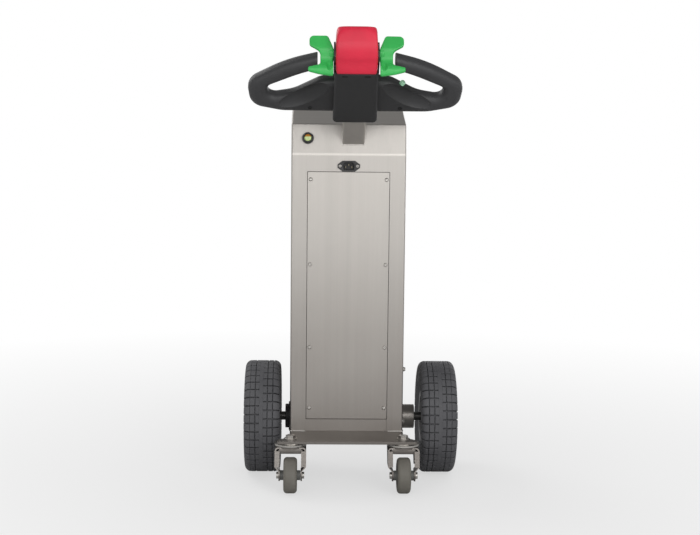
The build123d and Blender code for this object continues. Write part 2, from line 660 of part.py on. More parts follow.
with BuildPart() as key_lens:
    with BuildSketch(key_face.offset(KEY_BEZEL)):
        Circle(KEY_LENS_RADIUS)
    extrude(amount=KEY_LENS)
    fillet(key_lens.faces().sort_by(Axis(key_face.origin, panel_out))[-1].edges(), KEY_LENS / 2)
keep(key_lens, "key_lens")

# Tiller stem, a rectangular tube cut off along the inclined panel
with BuildPart() as tiller_stem:
    stem_section = Plane(origin=tiller_root, x_dir=(1, 0, 0), z_dir=tiller_along)
    with BuildSketch(stem_section.offset(-STEM_WIDTH)):
        RectangleRounded(STEM_WIDTH, STEM_HEIGHT, STEM_CORNER)
        Rectangle(STEM_WIDTH - 2 * STEM_WALL, STEM_HEIGHT - 2 * STEM_WALL, mode=Mode.SUBTRACT)
    extrude(amount=STEM_WIDTH + STEM_END)
    split(bisect_by=Plane(origin=panel_foot, x_dir=(1, 0, 0), z_dir=panel_out), keep=Keep.TOP)
keep(tiller_stem, "tiller_stem")

# Side profile of the belly button: heel below, bulged face towards the operator, short nose above
heel = Vector(HEAD_END + BUTTON_HEEL, BUTTON_UNDER)
nose = Vector(HEAD_END + BUTTON_NOSE, -BUTTON_NOSE_OVER)
face_out = Vector(heel.Y - nose.Y, nose.X - heel.X).normalized()
with BuildSketch(tiller_side) as button_profile:
    with BuildLine():
        Polyline((nose.X, nose.Y), (HEAD_END + BUTTON_TOP, -BUTTON_OVER), (HEAD_END, -BUTTON_OVER))
        Polyline((HEAD_END, -BUTTON_OVER), (HEAD_END, BUTTON_UNDER), (heel.X, heel.Y))
        ThreePointArc(heel, (heel + nose) * 0.5 + face_out * BUTTON_BULGE, nose)
    make_face()
    fillet(button_profile.vertices().sort_by_distance(heel)[0], BUTTON_HEEL_ROUND)
    fillet(button_profile.vertices().sort_by(Axis.X)[-2:], BUTTON_NOSE_ROUND)

# Tiller head: a moulded housing with a pocket for the stem, a tapered cover below and a cheek on each side
with BuildPart() as tiller_head:
    with BuildSketch(tiller_plane.offset(-HEAD_OVER)):
        with Locations((0, (HEAD_START + HEAD_END) / 2)):
            RectangleRounded(HEAD_WIDTH, HEAD_END - HEAD_START, HEAD_CORNER)
    extrude(amount=HEAD_OVER + GRIP_THICKNESS / 2 + SEAT_GAP)
    head_axis = Axis(tiller_root, tiller_under)
    fillet(tiller_head.faces().sort_by(head_axis)[0].edges(), HEAD_EDGE)
    with BuildSketch(tiller_plane.offset(GRIP_THICKNESS / 2 + SEAT_GAP)) as cover_outline:
        Polygon(
            (-COVER_FOOT_WIDTH / 2, HEAD_START),
            (COVER_FOOT_WIDTH / 2, HEAD_START),
            (HEAD_WIDTH / 2, HEAD_END),
            (-HEAD_WIDTH / 2, HEAD_END),
            align=None,
        )
        fillet(cover_outline.vertices().group_by(Axis.Y)[0], COVER_FOOT_CORNER)
    extrude(amount=HEAD_UNDER - GRIP_THICKNESS / 2 - SEAT_GAP)
    under_face = tiller_head.faces().sort_by(head_axis)[-1]
    fillet(under_face.edges(), COVER_EDGE)
    for side in SIDES.values():
        with BuildSketch(tiller_side.offset(side * (head_side - CHEEK))):
            add(button_profile.sketch_local)
            offset(amount=-CHEEK_INSET, mode=Mode.REPLACE)
            with Locations((HEAD_END, 0)):
                Rectangle(2 * HEAD_CORNER, CHEEK_ROOT)
        extrude(amount=side * (CHEEK + CHEEK_PROUD))
    with BuildSketch(stem_section):
        Rectangle(STEM_WIDTH + 2 * SEAT_GAP, STEM_HEIGHT + 2 * SEAT_GAP)
    extrude(amount=STEM_END + SEAT_GAP, mode=Mode.SUBTRACT)
keep(tiller_head, "tiller_head")

# Grips: a wing beside the head and an open loop, one rounded moulding with a finger scoop below
for name, side in SIDES.items():
    with BuildPart() as grip:
        with BuildSketch(tiller_plane):
            with BuildLine():
                outer = FilletPolyline(
                    (side * (head_side + GRIP_START_OUT), GRIP_OUTER_START),
                    *((side * (head_side + out), along) for out, along, corner in GRIP_OUTER),
                    (side * head_side, WING_LOW),
                    radius=[corner for out, along, corner in GRIP_OUTER],
                )
                inner = FilletPolyline(
                    (side * head_side, WING_ROOT),
                    *((side * (head_side + out), along) for out, along, corner in GRIP_INNER),
                    (side * (head_side + GRIP_START_OUT), GRIP_INNER_START),
                    radius=[corner for out, along, corner in GRIP_INNER],
                )
                Line(outer @ 1, inner @ 0)
                Line(inner @ 1, outer @ 0)
            make_face()
        extrude(amount=GRIP_THICKNESS / 2, both=True)
        rims = grip.faces().filter_by(head_axis)
        cut_ends = (head_side, head_side + GRIP_START_OUT)
        soft_edges = rims.edges().filter_by(lambda e: min(abs(abs(e.center().X) - x) for x in cut_ends) > 1)
        fillet(soft_edges, GRIP_EDGE)
        # the free end is cut square
        with BuildSketch(tiller_plane):
            stub_along = (GRIP_OUTER_START + GRIP_INNER_START) / 2
            stub_out = (GRIP_START_OUT + GRIP_END_OUT) / 2
            with Locations((side * (head_side + stub_out), stub_along)):
                Rectangle(GRIP_END_OUT - GRIP_START_OUT, 2 * GRIP_THICKNESS)
        extrude(amount=GRIP_THICKNESS, both=True, mode=Mode.SUBTRACT)
        free_end = grip.faces().filter_by(Axis.X).sort_by(Axis(tiller_root, tiller_along))[-1]
        fillet(free_end.edges(), GRIP_END_EDGE)
        # the scoop is cut by a spindle that lies along the wing's inner edge
        foot, tip = (Vector(side * (head_side + out), along) for out, along in (SCOOP_FOOT, SCOOP_TIP))
        spindle_height = GRIP_THICKNESS / 2 + SCOOP_RADIUS - SCOOP_DIP
        spindle_centre = tiller_plane.from_local_coords((foot + tip) * 0.5 + Vector(0, 0, spindle_height))
        spindle_way = tiller_plane.from_local_coords(tip) - tiller_plane.from_local_coords(foot)
        half_length = spindle_way.length
        spindle_normal = spindle_way.cross(tiller_under)
        with BuildSketch(Plane(origin=spindle_centre, x_dir=tiller_under, z_dir=spindle_normal)):
            with BuildLine():
                ThreePointArc((0, -half_length), (SCOOP_RADIUS, 0), (0, half_length))
                Line((0, half_length), (0, -half_length))
            make_face()
        revolve(axis=Axis(spindle_centre, spindle_way), mode=Mode.SUBTRACT)
    keep(grip, f"{name}_grip")

# Belly button: a cap on the operator's end of the head, its side profile cut to its bowed and crowned outline
button_half = head_side - CHEEK - BUTTON_GAP
with BuildPart() as belly_button:
    with BuildSketch(tiller_side):
        add(button_profile.sketch_local)
    extrude(amount=HEAD_WIDTH, both=True)
    with BuildSketch(tiller_plane) as button_face:
        top_corner_along = HEAD_END + BUTTON_NOSE - BUTTON_CROWN
        with BuildLine():
            for side in SIDES.values():
                ThreePointArc(
                    (side * (button_half - BUTTON_BOW / 2), HEAD_END),
                    (side * button_half, (HEAD_END + top_corner_along) / 2),
                    (side * (button_half - BUTTON_BOW), top_corner_along),
                )
            ThreePointArc(
                (-button_half + BUTTON_BOW, top_corner_along),
                (0, HEAD_END + BUTTON_NOSE),
                (button_half - BUTTON_BOW, top_corner_along),
            )
            Line((-button_half + BUTTON_BOW / 2, HEAD_END), (button_half - BUTTON_BOW / 2, HEAD_END))
        make_face()
        fillet(button_face.vertices().group_by(Axis.Y)[-1], BUTTON_CORNER)
    extrude(amount=HEAD_WIDTH, both=True, mode=Mode.INTERSECT)
keep(belly_button, "belly_button")

# Drive paddles: an upright clip shape that opens outwards round the free end of each grip
lean = radians(PADDLE_LEAN)
paddle_normal = tiller_along * cos(lean) + tiller_under * sin(lean)
paddle_centre = tiller_root + tiller_along * PADDLE_ALONG
paddle_face = paddle_centre + paddle_normal * PADDLE_FORWARD
paddle_plane = Plane(origin=paddle_face, x_dir=(1, 0, 0), z_dir=paddle_normal)
for name, side in SIDES.items():
    with BuildPart() as paddle:
        with BuildSketch(paddle_plane) as paddle_outline:
            corners = {(side * (head_side + out), height): corner for out, height, corner in PADDLE_OUTLINE}
            Polygon(*corners, align=None)
            for point, corner in corners.items():
                fillet(paddle_outline.vertices().sort_by_distance(point)[0], corner)
        extrude(amount=PADDLE / 2, both=True)
        rims = paddle.faces().filter_by(Axis(paddle_centre, paddle_normal))
        fillet(rims.edges(), PADDLE_EDGE)
        boss_x = head_side + CHEEK_PROUD + SEAT_GAP
        with BuildSketch(tiller_side.offset(side * boss_x)):
            with Locations((PADDLE_ALONG, 0)):
                Circle(PADDLE_BOSS_RADIUS)
        extrude(amount=side * (PADDLE_INNER_OUT - CHEEK_PROUD - SEAT_GAP + PADDLE_BOSS_SINK))
    keep(paddle, f"{name}_paddle")

# Horn button on the inner slope of the right wing
slope = Vector(WING_VALLEY[0] - WING_SHOULDER[0], WING_VALLEY[1] - WING_SHOULDER[1])
horn_along = WING_SHOULDER[1] + slope.Y / slope.X * (HORN_OUT - WING_SHOULDER[0])
slope_out = Vector(-slope.Y, slope.X).normalized()
horn_way = Vector(slope_out.X, 0, 0) + tiller_along * slope_out.Y
with BuildPart() as horn_button:
    horn_seat = Plane(
        origin=tiller_root + Vector(head_side + HORN_OUT, 0, 0) + tiller_along * horn_along, z_dir=horn_way
    )
    with BuildSketch(horn_seat):
        Circle(HORN_RADIUS)
    extrude(amount=HORN_HEIGHT)
    fillet(horn_button.faces().sort_by(Axis(horn_seat.origin, horn_way))[-1].edges(), HORN_RADIUS / 2)
keep(horn_button, "horn_button")

# Front coupling: bracket plate with a ribbed tongue, and an upright pin to drop a towing eye on
with BuildPart() as tow_bracket:
    with BuildSketch(Plane.XZ.offset(-FRONT_FACE_Y)):
        with Locations((0, BRACKET_BOTTOM_Z + BRACKET_HEIGHT / 2)):
            RectangleRounded(BRACKET_WIDTH, BRACKET_HEIGHT, BRACKET_CORNER)
    extrude(amount=-BRACKET_PLATE)
    tongue_back_y = FRONT_FACE_Y + BRACKET_PLATE
    pin_y = tongue_back_y + TONGUE_LENGTH - TOW_PIN_SETBACK
    with BuildSketch(Plane.XY.offset(TONGUE_Z)) as tongue_outline:
        with Locations((0, tongue_back_y + TONGUE_LENGTH / 2)):
            Rectangle(TONGUE_WIDTH, TONGUE_LENGTH)
        fillet(tongue_outline.vertices().group_by(Axis.Y)[-1], TONGUE_CORNER)
        with Locations((0, pin_y)):
            Circle(TOW_PIN_RADIUS + SEAT_GAP, mode=Mode.SUBTRACT)
    extrude(amount=TONGUE)
    for end in SIDES.values():
        with BuildSketch(Plane.YZ.offset(end * (TONGUE_WIDTH - RIB) / 2)):
            Polygon(
                (tongue_back_y, TONGUE_Z),
                (tongue_back_y, TONGUE_Z - RIB_HEIGHT),
                (tongue_back_y + RIB, TONGUE_Z - RIB_HEIGHT),
                (pin_y, TONGUE_Z),
                align=None,
            )
        extrude(amount=RIB / 2, both=True)
keep(tow_bracket, "tow_bracket")

with BuildPart() as tow_pin:
    with BuildSketch(Plane.XY.offset(TONGUE_Z)):
        with Locations((0, pin_y)):
            Circle(TOW_PIN_RADIUS)
    extrude(amount=TONGUE + TOW_COLLAR + TOW_PIN_HEIGHT)
    chamfer(tow_pin.faces().sort_by(Axis.Z)[-1].edges(), TOW_PIN_NOSE)
    with BuildSketch(Plane.XY.offset(TONGUE_Z + TONGUE)):
        with Locations((0, pin_y)):
            Circle(TOW_COLLAR_RADIUS)
    extrude(amount=TOW_COLLAR)
keep(tow_pin, "tow_pin")
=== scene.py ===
"""Looks of the pedestrian electric tow tractor: finishes, tread, screws, welds and moulded details.

Sizes are millimetres where they are named, and Blender's metres in the meshes. The frame is the part's own:
+X is the operator's right, +Y is forwards to the coupling, +Z is up, and the floor is z = 0.
"""
import json
import math

import bmesh
import bpy
from mathutils import Matrix, Vector

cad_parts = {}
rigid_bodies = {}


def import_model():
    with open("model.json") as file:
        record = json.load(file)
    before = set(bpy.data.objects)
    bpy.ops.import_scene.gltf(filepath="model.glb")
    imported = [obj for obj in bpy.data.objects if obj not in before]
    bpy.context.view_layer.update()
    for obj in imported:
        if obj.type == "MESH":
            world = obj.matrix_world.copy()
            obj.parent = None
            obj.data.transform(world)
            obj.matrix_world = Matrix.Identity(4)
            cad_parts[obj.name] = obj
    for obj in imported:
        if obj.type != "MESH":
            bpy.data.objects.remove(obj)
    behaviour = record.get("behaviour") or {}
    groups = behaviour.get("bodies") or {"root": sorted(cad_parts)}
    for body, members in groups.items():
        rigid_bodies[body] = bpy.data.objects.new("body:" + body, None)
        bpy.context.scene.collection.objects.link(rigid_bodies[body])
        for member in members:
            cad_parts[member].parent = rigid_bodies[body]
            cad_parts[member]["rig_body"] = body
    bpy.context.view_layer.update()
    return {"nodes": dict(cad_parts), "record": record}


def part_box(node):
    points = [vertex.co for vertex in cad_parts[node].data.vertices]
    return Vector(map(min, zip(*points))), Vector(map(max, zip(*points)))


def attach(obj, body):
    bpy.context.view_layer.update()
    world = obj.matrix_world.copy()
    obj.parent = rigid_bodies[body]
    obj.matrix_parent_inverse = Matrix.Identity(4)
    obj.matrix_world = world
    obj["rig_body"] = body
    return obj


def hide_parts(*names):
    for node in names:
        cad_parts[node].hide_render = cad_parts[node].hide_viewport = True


for leftover in list(bpy.data.objects):
    bpy.data.objects.remove(leftover)
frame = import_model()
MM = 0.001
SIDES = {"left": -1, "right": 1}
BACK, AHEAD, RIGHT, UP = Vector((0, -1, 0)), Vector((0, 1, 0)), Vector((1, 0, 0)), Vector((0, 0, 1))

# The photograph's camera: the eye's place, and how far it looks down, to the right and tips over
EYE = Vector((-0.0901, -3.1757, 0.851))
LOOK_DOWN = math.radians(6.49)
LOOK_RIGHT = math.radians(1.55)
TIP_OVER = math.radians(0.58)
LENS = 72.0

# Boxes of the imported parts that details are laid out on, in millimetres
BOX = {node: [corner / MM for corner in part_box(node)] for node in frame["nodes"]}
SHELL_LOW, SHELL_HIGH = BOX["column_shell"]
COVER_LOW, COVER_HIGH = BOX["service_cover"]
FRONT_LOW, FRONT_HIGH = BOX["front_panel"]
PLATE_HIGH = BOX["base_plate"][1]
BRACKET_LOW, BRACKET_HIGH = BOX["tow_bracket"]
DRIVE_LOW, DRIVE_HIGH = BOX["drive_unit"]
TYRE_LOW, TYRE_HIGH = BOX["left_drive_tyre"]
REAR_Y = SHELL_LOW.y
BRACKET_PLATE = 8.0
BRACKET_Y = SHELL_HIGH.y + BRACKET_PLATE


def middle_of(node):
    """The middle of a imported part's box, in millimetres."""
    low, high = BOX[node]
    return (low + high) / 2


COLUMN_X = middle_of("column_shell").x
DRIVE_MIDDLE = middle_of("drive_unit")
WHEEL_MIDDLE = {side_name: middle_of(f"{side_name}_drive_tyre") for side_name in SIDES}
CASTOR_MIDDLE = {side_name: middle_of(f"{side_name}_castor_head") for side_name in SIDES}

# The inclined panel under the tiller: its foot is the fold in the rear sheet
FOLD_Z = 748.0
PANEL_LEAN = math.radians(11.0)
PANEL_FOOT = Vector((0, REAR_Y, FOLD_Z))
PANEL_UP = Vector((0, math.sin(PANEL_LEAN), math.cos(PANEL_LEAN)))
PANEL_OUT = Vector((0, -math.cos(PANEL_LEAN), math.sin(PANEL_LEAN)))

# The tiller's own directions: along the stem, and out of its underside
STEM_UP_PANEL = 37.0
STEM_CLIMB = math.pi / 4
ALONG = Vector((0, -math.cos(STEM_CLIMB), math.sin(STEM_CLIMB)))
UNDER = Vector((0, -math.sin(STEM_CLIMB), -math.cos(STEM_CLIMB)))
TILLER_ROOT = PANEL_FOOT + PANEL_UP * STEM_UP_PANEL
# distances from the stem's line: the head's underside and upper side, and the underside of its wings
HEAD_UNDER, HEAD_OVER = 34.0, 30.0
WING_UNDER = 17.0


def on_tiller(across, along, under):
    return TILLER_ROOT + Vector((across, 0, 0)) + ALONG * along + UNDER * under


def on_panel(across, up, out=0.0):
    return PANEL_FOOT + Vector((across, 0, 0)) + PANEL_UP * up + PANEL_OUT * out


# Node trees


class Wiring:
    """A node tree, with a short way to add nodes and link them."""

    def __init__(self, tree):
        self.tree = tree

    def node(self, kind, links=(), **settings):
        made = self.tree.nodes.new(kind)
        for key, value in settings.items():
            setattr(made, key, value)
        for socket, value in dict(links).items():
            if isinstance(value, bpy.types.NodeSocket):
                self.tree.links.new(value, made.inputs[socket])
            else:
                made.inputs[socket].default_value = value
        return made

    def reckon(self, operation, *values):
        """The result of a sum such as ADD, MULTIPLY or SINE."""
        return self.node("ShaderNodeMath", enumerate(values), operation=operation).outputs[0]

    def span(self, value, low, high, from_low=0.0, from_high=1.0):
        """A value carried from one range to another."""
        links = {"Value": value, "From Min": from_low, "From Max": from_high, "To Min": low, "To Max": high}
        return self.node("ShaderNodeMapRange", links).outputs["Result"]


class Finish(Wiring):
    """One material: its shader, and short ways to add textures in object coordinates."""

    def __init__(self, name, colour, roughness, metallic=0.0):
        self.material = bpy.data.materials.new(name)
        self.material.use_nodes = True
        super().__init__(self.material.node_tree)
        self.shader = self.tree.nodes["Principled BSDF"]
        self.place = self.node("ShaderNodeTexCoord").outputs["Object"]
        self.set("Base Color", (*colour, 1.0))
        self.set("Roughness", roughness)
        self.set("Metallic", metallic)

    def set(self, socket, value):
        self.shader.inputs[socket].default_value = value

    def feed(self, socket, output):
        self.tree.links.new(output, self.shader.inputs[socket])

    def noise(self, scale, detail=4.0, rough=0.55, stretch=(1.0, 1.0, 1.0)):
        place = self.node("ShaderNodeMapping", {"Vector": self.place, "Scale": stretch}).outputs["Vector"]
        links = {"Vector": place, "Scale": scale, "Detail": detail, "Roughness": rough}
        return self.node("ShaderNodeTexNoise", links).outputs["Fac"]

    def cells(self, scale):
        return self.node("ShaderNodeTexVoronoi", {"Vector": self.place, "Scale": scale}).outputs["Distance"]

    def axis(self, letter):
        return self.node("ShaderNodeSeparateXYZ", {"Vector": self.place}).outputs[letter]

    def edges(self, low, high):
        """High on outward edges, where handling rubs the surface."""
        pointed = self.node("ShaderNodeNewGeometry").outputs["Pointiness"]
        return self.span(pointed, 0.0, 1.0, low, high)

    def mix(self, value, first, second):
        """A colour between two, by a value. Either may be a colour or another mix."""
        blend = self.tree.nodes.new("ShaderNodeMix")
        blend.data_type = "RGBA"
        self.tree.links.new(value, blend.inputs[0])
        for socket, colour in ((6, first), (7, second)):
            if isinstance(colour, bpy.types.NodeSocket):
                self.tree.links.new(colour, blend.inputs[socket])
            else:
                blend.inputs[socket].default_value = (*colour, 1.0)
        return blend.outputs[2]

    def relief(self, height, strength, depth):
        links = {"Height": height, "Strength": strength, "Distance": depth}
        return self.node("ShaderNodeBump", links).outputs["Normal"]


def shade(colour, factor):
    return tuple(min(1.0, channel * factor) for channel in colour)


# Finishes

UPRIGHT_GRAIN = Vector((620.0, 620.0, 7.0))
CROSS_GRAIN = Vector((7.0, 620.0, 620.0))
STREAK_SCALE = 0.09
# upward share of a face's normal, from where the level sheet's grain sets in to where it takes over
LEVEL_CLIMB = (0.6, 0.7)
# heights between which the painted shade towards the floor thins out, in metres, and how much of each of the
# steel's channels it leaves
LOW_SHADE_HEIGHTS = (0.1, 0.55)
LOW_SHADE_LEAVES = (0.36, 0.32, 0.305)
# a painted highlight along a fold: half heights of its bright core and of all of it
FOLD_HIGHLIGHT_CORE, FOLD_HIGHLIGHT_HALF = 1.36, 3.4
# depths behind the rear face between which the painted highlight fades out, and how much brighter it is
FOLD_HIGHLIGHT_DEPTHS = (0.5, 1.5)
FOLD_HIGHLIGHT_GAIN = 1.28


def brushed_steel(name, colour, roughness, grain, folds=(), level_grain=None):
    """Ground stainless: fine scratches and broader streaks along the grain, faint clouds, painted shade low
    down.

    Folds are heights, in millimetres, where the rear sheet is bent and a highlight is painted along the bend.
    Sheet that lies level may have a grain of its own.
    """
    steel = Finish(name, colour, roughness, metallic=1.0)

    def along_the_grain(scale, **kind):
        upright = steel.noise(1.0, stretch=grain * scale, **kind)
        if level_grain is None:
            return upright
        lying = steel.noise(1.0, stretch=level_grain * scale, **kind)
        normal = steel.node("ShaderNodeNewGeometry").outputs["Normal"]
        climb = steel.node("ShaderNodeSeparateXYZ", {"Vector": normal}).outputs["Z"]
        level = steel.span(climb, 0.0, 1.0, *LEVEL_CLIMB)
        upright = steel.reckon("MULTIPLY", upright, steel.span(level, 1.0, 0.0))
        return steel.reckon("ADD", upright, steel.reckon("MULTIPLY", lying, level))

    scratches = along_the_grain(1.0, detail=6.0, rough=0.7)
    streaks = along_the_grain(STREAK_SCALE, detail=4.0, rough=0.6)
    clouds = steel.noise(2.6, detail=2.0)
    toned = steel.mix(steel.span(streaks, 0.0, 1.0, 0.3, 0.7), shade(colour, 0.965), shade(colour, 1.03))
    height = steel.axis("Z")
    # painted shade: the steel darkens towards the floor, in cloudy patches
    low_shade = steel.reckon("MULTIPLY", steel.span(height, 1.0, 0.0, *LOW_SHADE_HEIGHTS), clouds)
    toned = steel.mix(low_shade, toned, tuple(channel * left for channel, left in zip(colour, LOW_SHADE_LEAVES)))
    # painted highlight: a bright line along each fold, on the rear face only
    for fold in folds:
        away = steel.reckon("ABSOLUTE", steel.reckon("SUBTRACT", height, fold * MM))
        crease = steel.span(away, 1.0, 0.0, FOLD_HIGHLIGHT_CORE * MM, FOLD_HIGHLIGHT_HALF * MM)
        behind = steel.span(steel.axis("Y"), 1.0, 0.0, *((REAR_Y + depth) * MM for depth in FOLD_HIGHLIGHT_DEPTHS))
        toned = steel.mix(steel.reckon("MULTIPLY", crease, behind), toned, shade(colour, FOLD_HIGHLIGHT_GAIN))
    steel.feed("Base Color", toned)
    uneven = steel.reckon("ADD", scratches, clouds)
    steel.feed("Roughness", steel.span(uneven, roughness - 0.06, roughness + 0.08, 0.75, 1.25))
    steel.feed("Normal", steel.relief(scratches, 0.14, 0.0004))
    return steel.material


def welded(name, colour, roughness):
    """Weld metal: bright ripples, brushed clean, a little darker in patches."""
    weld = Finish(name, colour, roughness, metallic=1.0)
    heat = weld.noise(160.0, detail=3.0)
    tinted = weld.mix(weld.span(heat, 0.0, 1.0, 0.2, 0.5), shade(colour, 0.78), colour)
    weld.feed("Base Color", tinted)
    weld.feed("Roughness", weld.span(heat, roughness - 0.08, roughness + 0.14, 0.3, 0.7))
    weld.feed("Normal", weld.relief(weld.noise(1400.0), 0.15, 0.0003))
    return weld.material


# where light is painted onto the loops, in metres: distances from the tug's middle, and heights, over which
# they grey to lighter
LOOP_LIGHT_OUT = (0.11, 0.16)
LOOP_LIGHT_UP = (0.9, 0.93)


def moulded(name, colour, roughness, grain_scale, grain, rubbed=1.2, loop_light=1.0):
    """Moulded plastic: a fine spark-eroded grain, faint handling marks and edges rubbed a little lighter.

    Grips are painted lighter by a factor towards the loops' outer ends and tops: painted light.
    """
    plastic = Finish(name, colour, roughness)
    wear = plastic.noise(14.0, detail=5.0)
    toned = plastic.mix(plastic.span(wear, 0.0, 1.0, 0.3, 0.7), shade(colour, 0.88), shade(colour, 1.06))
    # painted light: lighter towards the loops' outer ends and tops
    if loop_light != 1.0:
        out = plastic.span(plastic.reckon("ABSOLUTE", plastic.axis("X")), 0.0, 1.0, *LOOP_LIGHT_OUT)
        up = plastic.span(plastic.axis("Z"), 0.0, 1.0, *LOOP_LIGHT_UP)
        toned = plastic.mix(plastic.reckon("MAXIMUM", out, up), toned, shade(colour, loop_light))
    plastic.feed("Base Color", plastic.mix(plastic.edges(0.52, 0.6), toned, shade(colour, rubbed)))
    plastic.feed("Roughness", plastic.span(wear, roughness - 0.06, roughness + 0.07, 0.3, 0.7))
    plastic.feed("Normal", plastic.relief(plastic.cells(grain_scale), grain, 0.0004))
    return plastic.material


def rubber(name, colour, roughness, dust):
    """Solid rubber: dusty in broad patches, with a dull pebbled skin."""
    skin = Finish(name, colour, roughness)
    patches = skin.noise(18.0, detail=6.0, rough=0.6)
    skin.feed("Base Color", skin.mix(skin.span(patches, 0.0, 1.0, 0.35, 0.75), colour, dust))
    skin.feed("Roughness", skin.span(patches, roughness - 0.05, roughness + 0.1, 0.3, 0.7))
    skin.feed("Normal", skin.relief(skin.noise(900.0, detail=2.0), 0.2, 0.0003))
    return skin.material


def plated(name, colour, roughness):
    """Bright plated steel with slight clouding."""
    metal = Finish(name, colour, roughness, metallic=1.0)
    clouds = metal.noise(60.0, detail=4.0)
    metal.feed("Base Color", metal.mix(clouds, shade(colour, 0.85), shade(colour, 1.1)))
    metal.feed("Roughness", metal.span(clouds, roughness - 0.08, roughness + 0.12, 0.3, 0.7))
    metal.feed("Normal", metal.relief(metal.noise(400.0), 0.05, 0.0003))
    return metal.material


def coated(name, colour, roughness):
    """Paint or casting skin: slight orange peel and cloudy tone."""
    paint = Finish(name, colour, roughness)
    clouds = paint.noise(25.0, detail=5.0)
    paint.feed("Base Color", paint.mix(clouds, shade(colour, 0.82), shade(colour, 1.12)))
    paint.feed("Roughness", paint.span(clouds, roughness - 0.07, roughness + 0.1, 0.3, 0.7))
    paint.feed("Normal", paint.relief(paint.noise(350.0), 0.1, 0.0004))
    return paint.material


TILLER_BLACK = (0.0185, 0.0185, 0.0195)
FINISHES = {
    "stainless": brushed_steel("stainless", (0.51, 0.485, 0.455), 0.46, UPRIGHT_GRAIN),
    "stainless_cover": brushed_steel("stainless_cover", (0.488, 0.464, 0.435), 0.44, UPRIGHT_GRAIN),
    "stainless_plate": brushed_steel("stainless_plate", (0.33, 0.315, 0.295), 0.4, CROSS_GRAIN),
    "dark_steel": coated("dark_steel", (0.02, 0.02, 0.021), 0.5),
    "drive_casting": coated("drive_casting", (0.14, 0.14, 0.145), 0.55),
    "battery_case": moulded("battery_case", (0.03, 0.03, 0.032), 0.55, 1800.0, 0.15),
    "inlet_plastic": moulded("inlet_plastic", (0.014, 0.014, 0.015), 0.38, 2600.0, 0.12),
    # kept very dark: painted shade of the socket round the inlet's pins
    "contact_metal": plated("contact_metal", (0.15, 0.135, 0.1), 0.4),
    "lens": moulded("lens", (0.58, 0.72, 0.3), 0.16, 300.0, 0.02),
    "tiller_plastic": moulded("tiller_plastic", TILLER_BLACK, 0.52, 1500.0, 0.25, rubbed=1.6),
    "red_plastic": moulded("red_plastic", (0.72, 0.014, 0.05), 0.42, 2200.0, 0.08),
    "green_plastic": moulded("green_plastic", (0.04, 0.5, 0.098), 0.36, 2200.0, 0.08),
    "pale_green_plastic": moulded("pale_green_plastic", (0.36, 0.66, 0.44), 0.4, 2200.0, 0.08),
    "zinc_steel": plated("zinc_steel", (0.5, 0.48, 0.45), 0.3),
    "tyre": rubber("tyre", (0.07, 0.07, 0.076), 0.68, (0.108, 0.108, 0.114)),
    "rim_steel": coated("rim_steel", (0.32, 0.32, 0.32), 0.42),
    "grey_rubber": rubber("grey_rubber", (0.128, 0.12, 0.1), 0.58, (0.17, 0.16, 0.14)),
    "grey_plastic": moulded("grey_plastic", (0.13, 0.13, 0.122), 0.5, 1500.0, 0.15),
}
# the column's sheet, with a painted highlight along its fold
FOLDED = brushed_steel(
    "stainless_folded", (0.466, 0.443, 0.416), 0.46, UPRIGHT_GRAIN, folds=(FOLD_Z,), level_grain=CROSS_GRAIN,
)
WELD = welded("weld_steel", (0.66, 0.64, 0.61), 0.34)
OILED = plated("oiled_steel", (0.1, 0.097, 0.093), 0.36)
# near-black standing in for shade: painted shade in the slots, the wing screws' recesses and the cover's gap
SHADE_BLACK = moulded("recess_black", (0.004, 0.004, 0.004), 0.8, 1500.0, 0.1)
AMBER = moulded("amber_lens", (0.5, 0.2, 0.03), 0.2, 300.0, 0.02)
# the grips carry painted light on the loops' outer ends and tops
GRIP = moulded("grip_plastic", TILLER_BLACK, 0.5, 1500.0, 0.25, rubbed=1.6, loop_light=2.0)

NODE_SLOT = {row["node"]: row["material_slot"] for row in frame["record"]["subparts"]}
OWN_FINISH = {
    "column_shell": FOLDED, "left_drive_shaft": OILED, "right_drive_shaft": OILED,
    "left_grip": GRIP, "right_grip": GRIP,
}
for node, obj in frame["nodes"].items():
    obj.data.materials.clear()
    obj.data.materials.append(OWN_FINISH.get(node, FINISHES[NODE_SLOT[node]]))


# Making meshes

MERGE = 1e-6
CREASE = 35.0
# rounded-over copies, in degrees: what counts as flat, as a sharp edge, and as a crease afterwards
SOFT_FLAT, SOFT_CORNER, SOFT_CREASE = 1.0, 30.0, 20.0
SOFT_STEPS = 2


def facing(place, way):
    """The matrix that stands a shape made along Z at a place given in millimetres, facing a way."""
    return Matrix.Translation(Vector(place) * MM) @ Vector(way).to_track_quat("Z", "Y").to_matrix().to_4x4()


def finished(bm, name, crease=CREASE):
    """A mesh with merged doubles and outward faces, smooth apart from its creases."""
    bmesh.ops.remove_doubles(bm, verts=bm.verts, dist=MERGE)
    bmesh.ops.recalc_face_normals(bm, faces=bm.faces)
    mesh = bpy.data.meshes.new(name)
    bm.to_mesh(mesh)
    bm.free()
    mesh.shade_smooth()
    mesh.set_sharp_from_angle(angle=math.radians(crease))
    return mesh


def skin_rings(bm, rings, round_end=False, caps=False):
    """Faces between rings of points, each ring closed. Points may be shared where a ring closes to a pole."""
    pairs = list(zip(rings, rings[1:]))
    if round_end:
        pairs.append((rings[-1], rings[0]))
    for low, high in pairs:
        for k in range(len(low)):
            after = (k + 1) % len(low)
            corners = list(dict.fromkeys((low[k], low[after], high[after], high[k])))
            if len(corners) > 2:
                bm.faces.new(corners)
    if caps:
        bm.faces.new(rings[0])
        bm.faces.new(rings[-1])


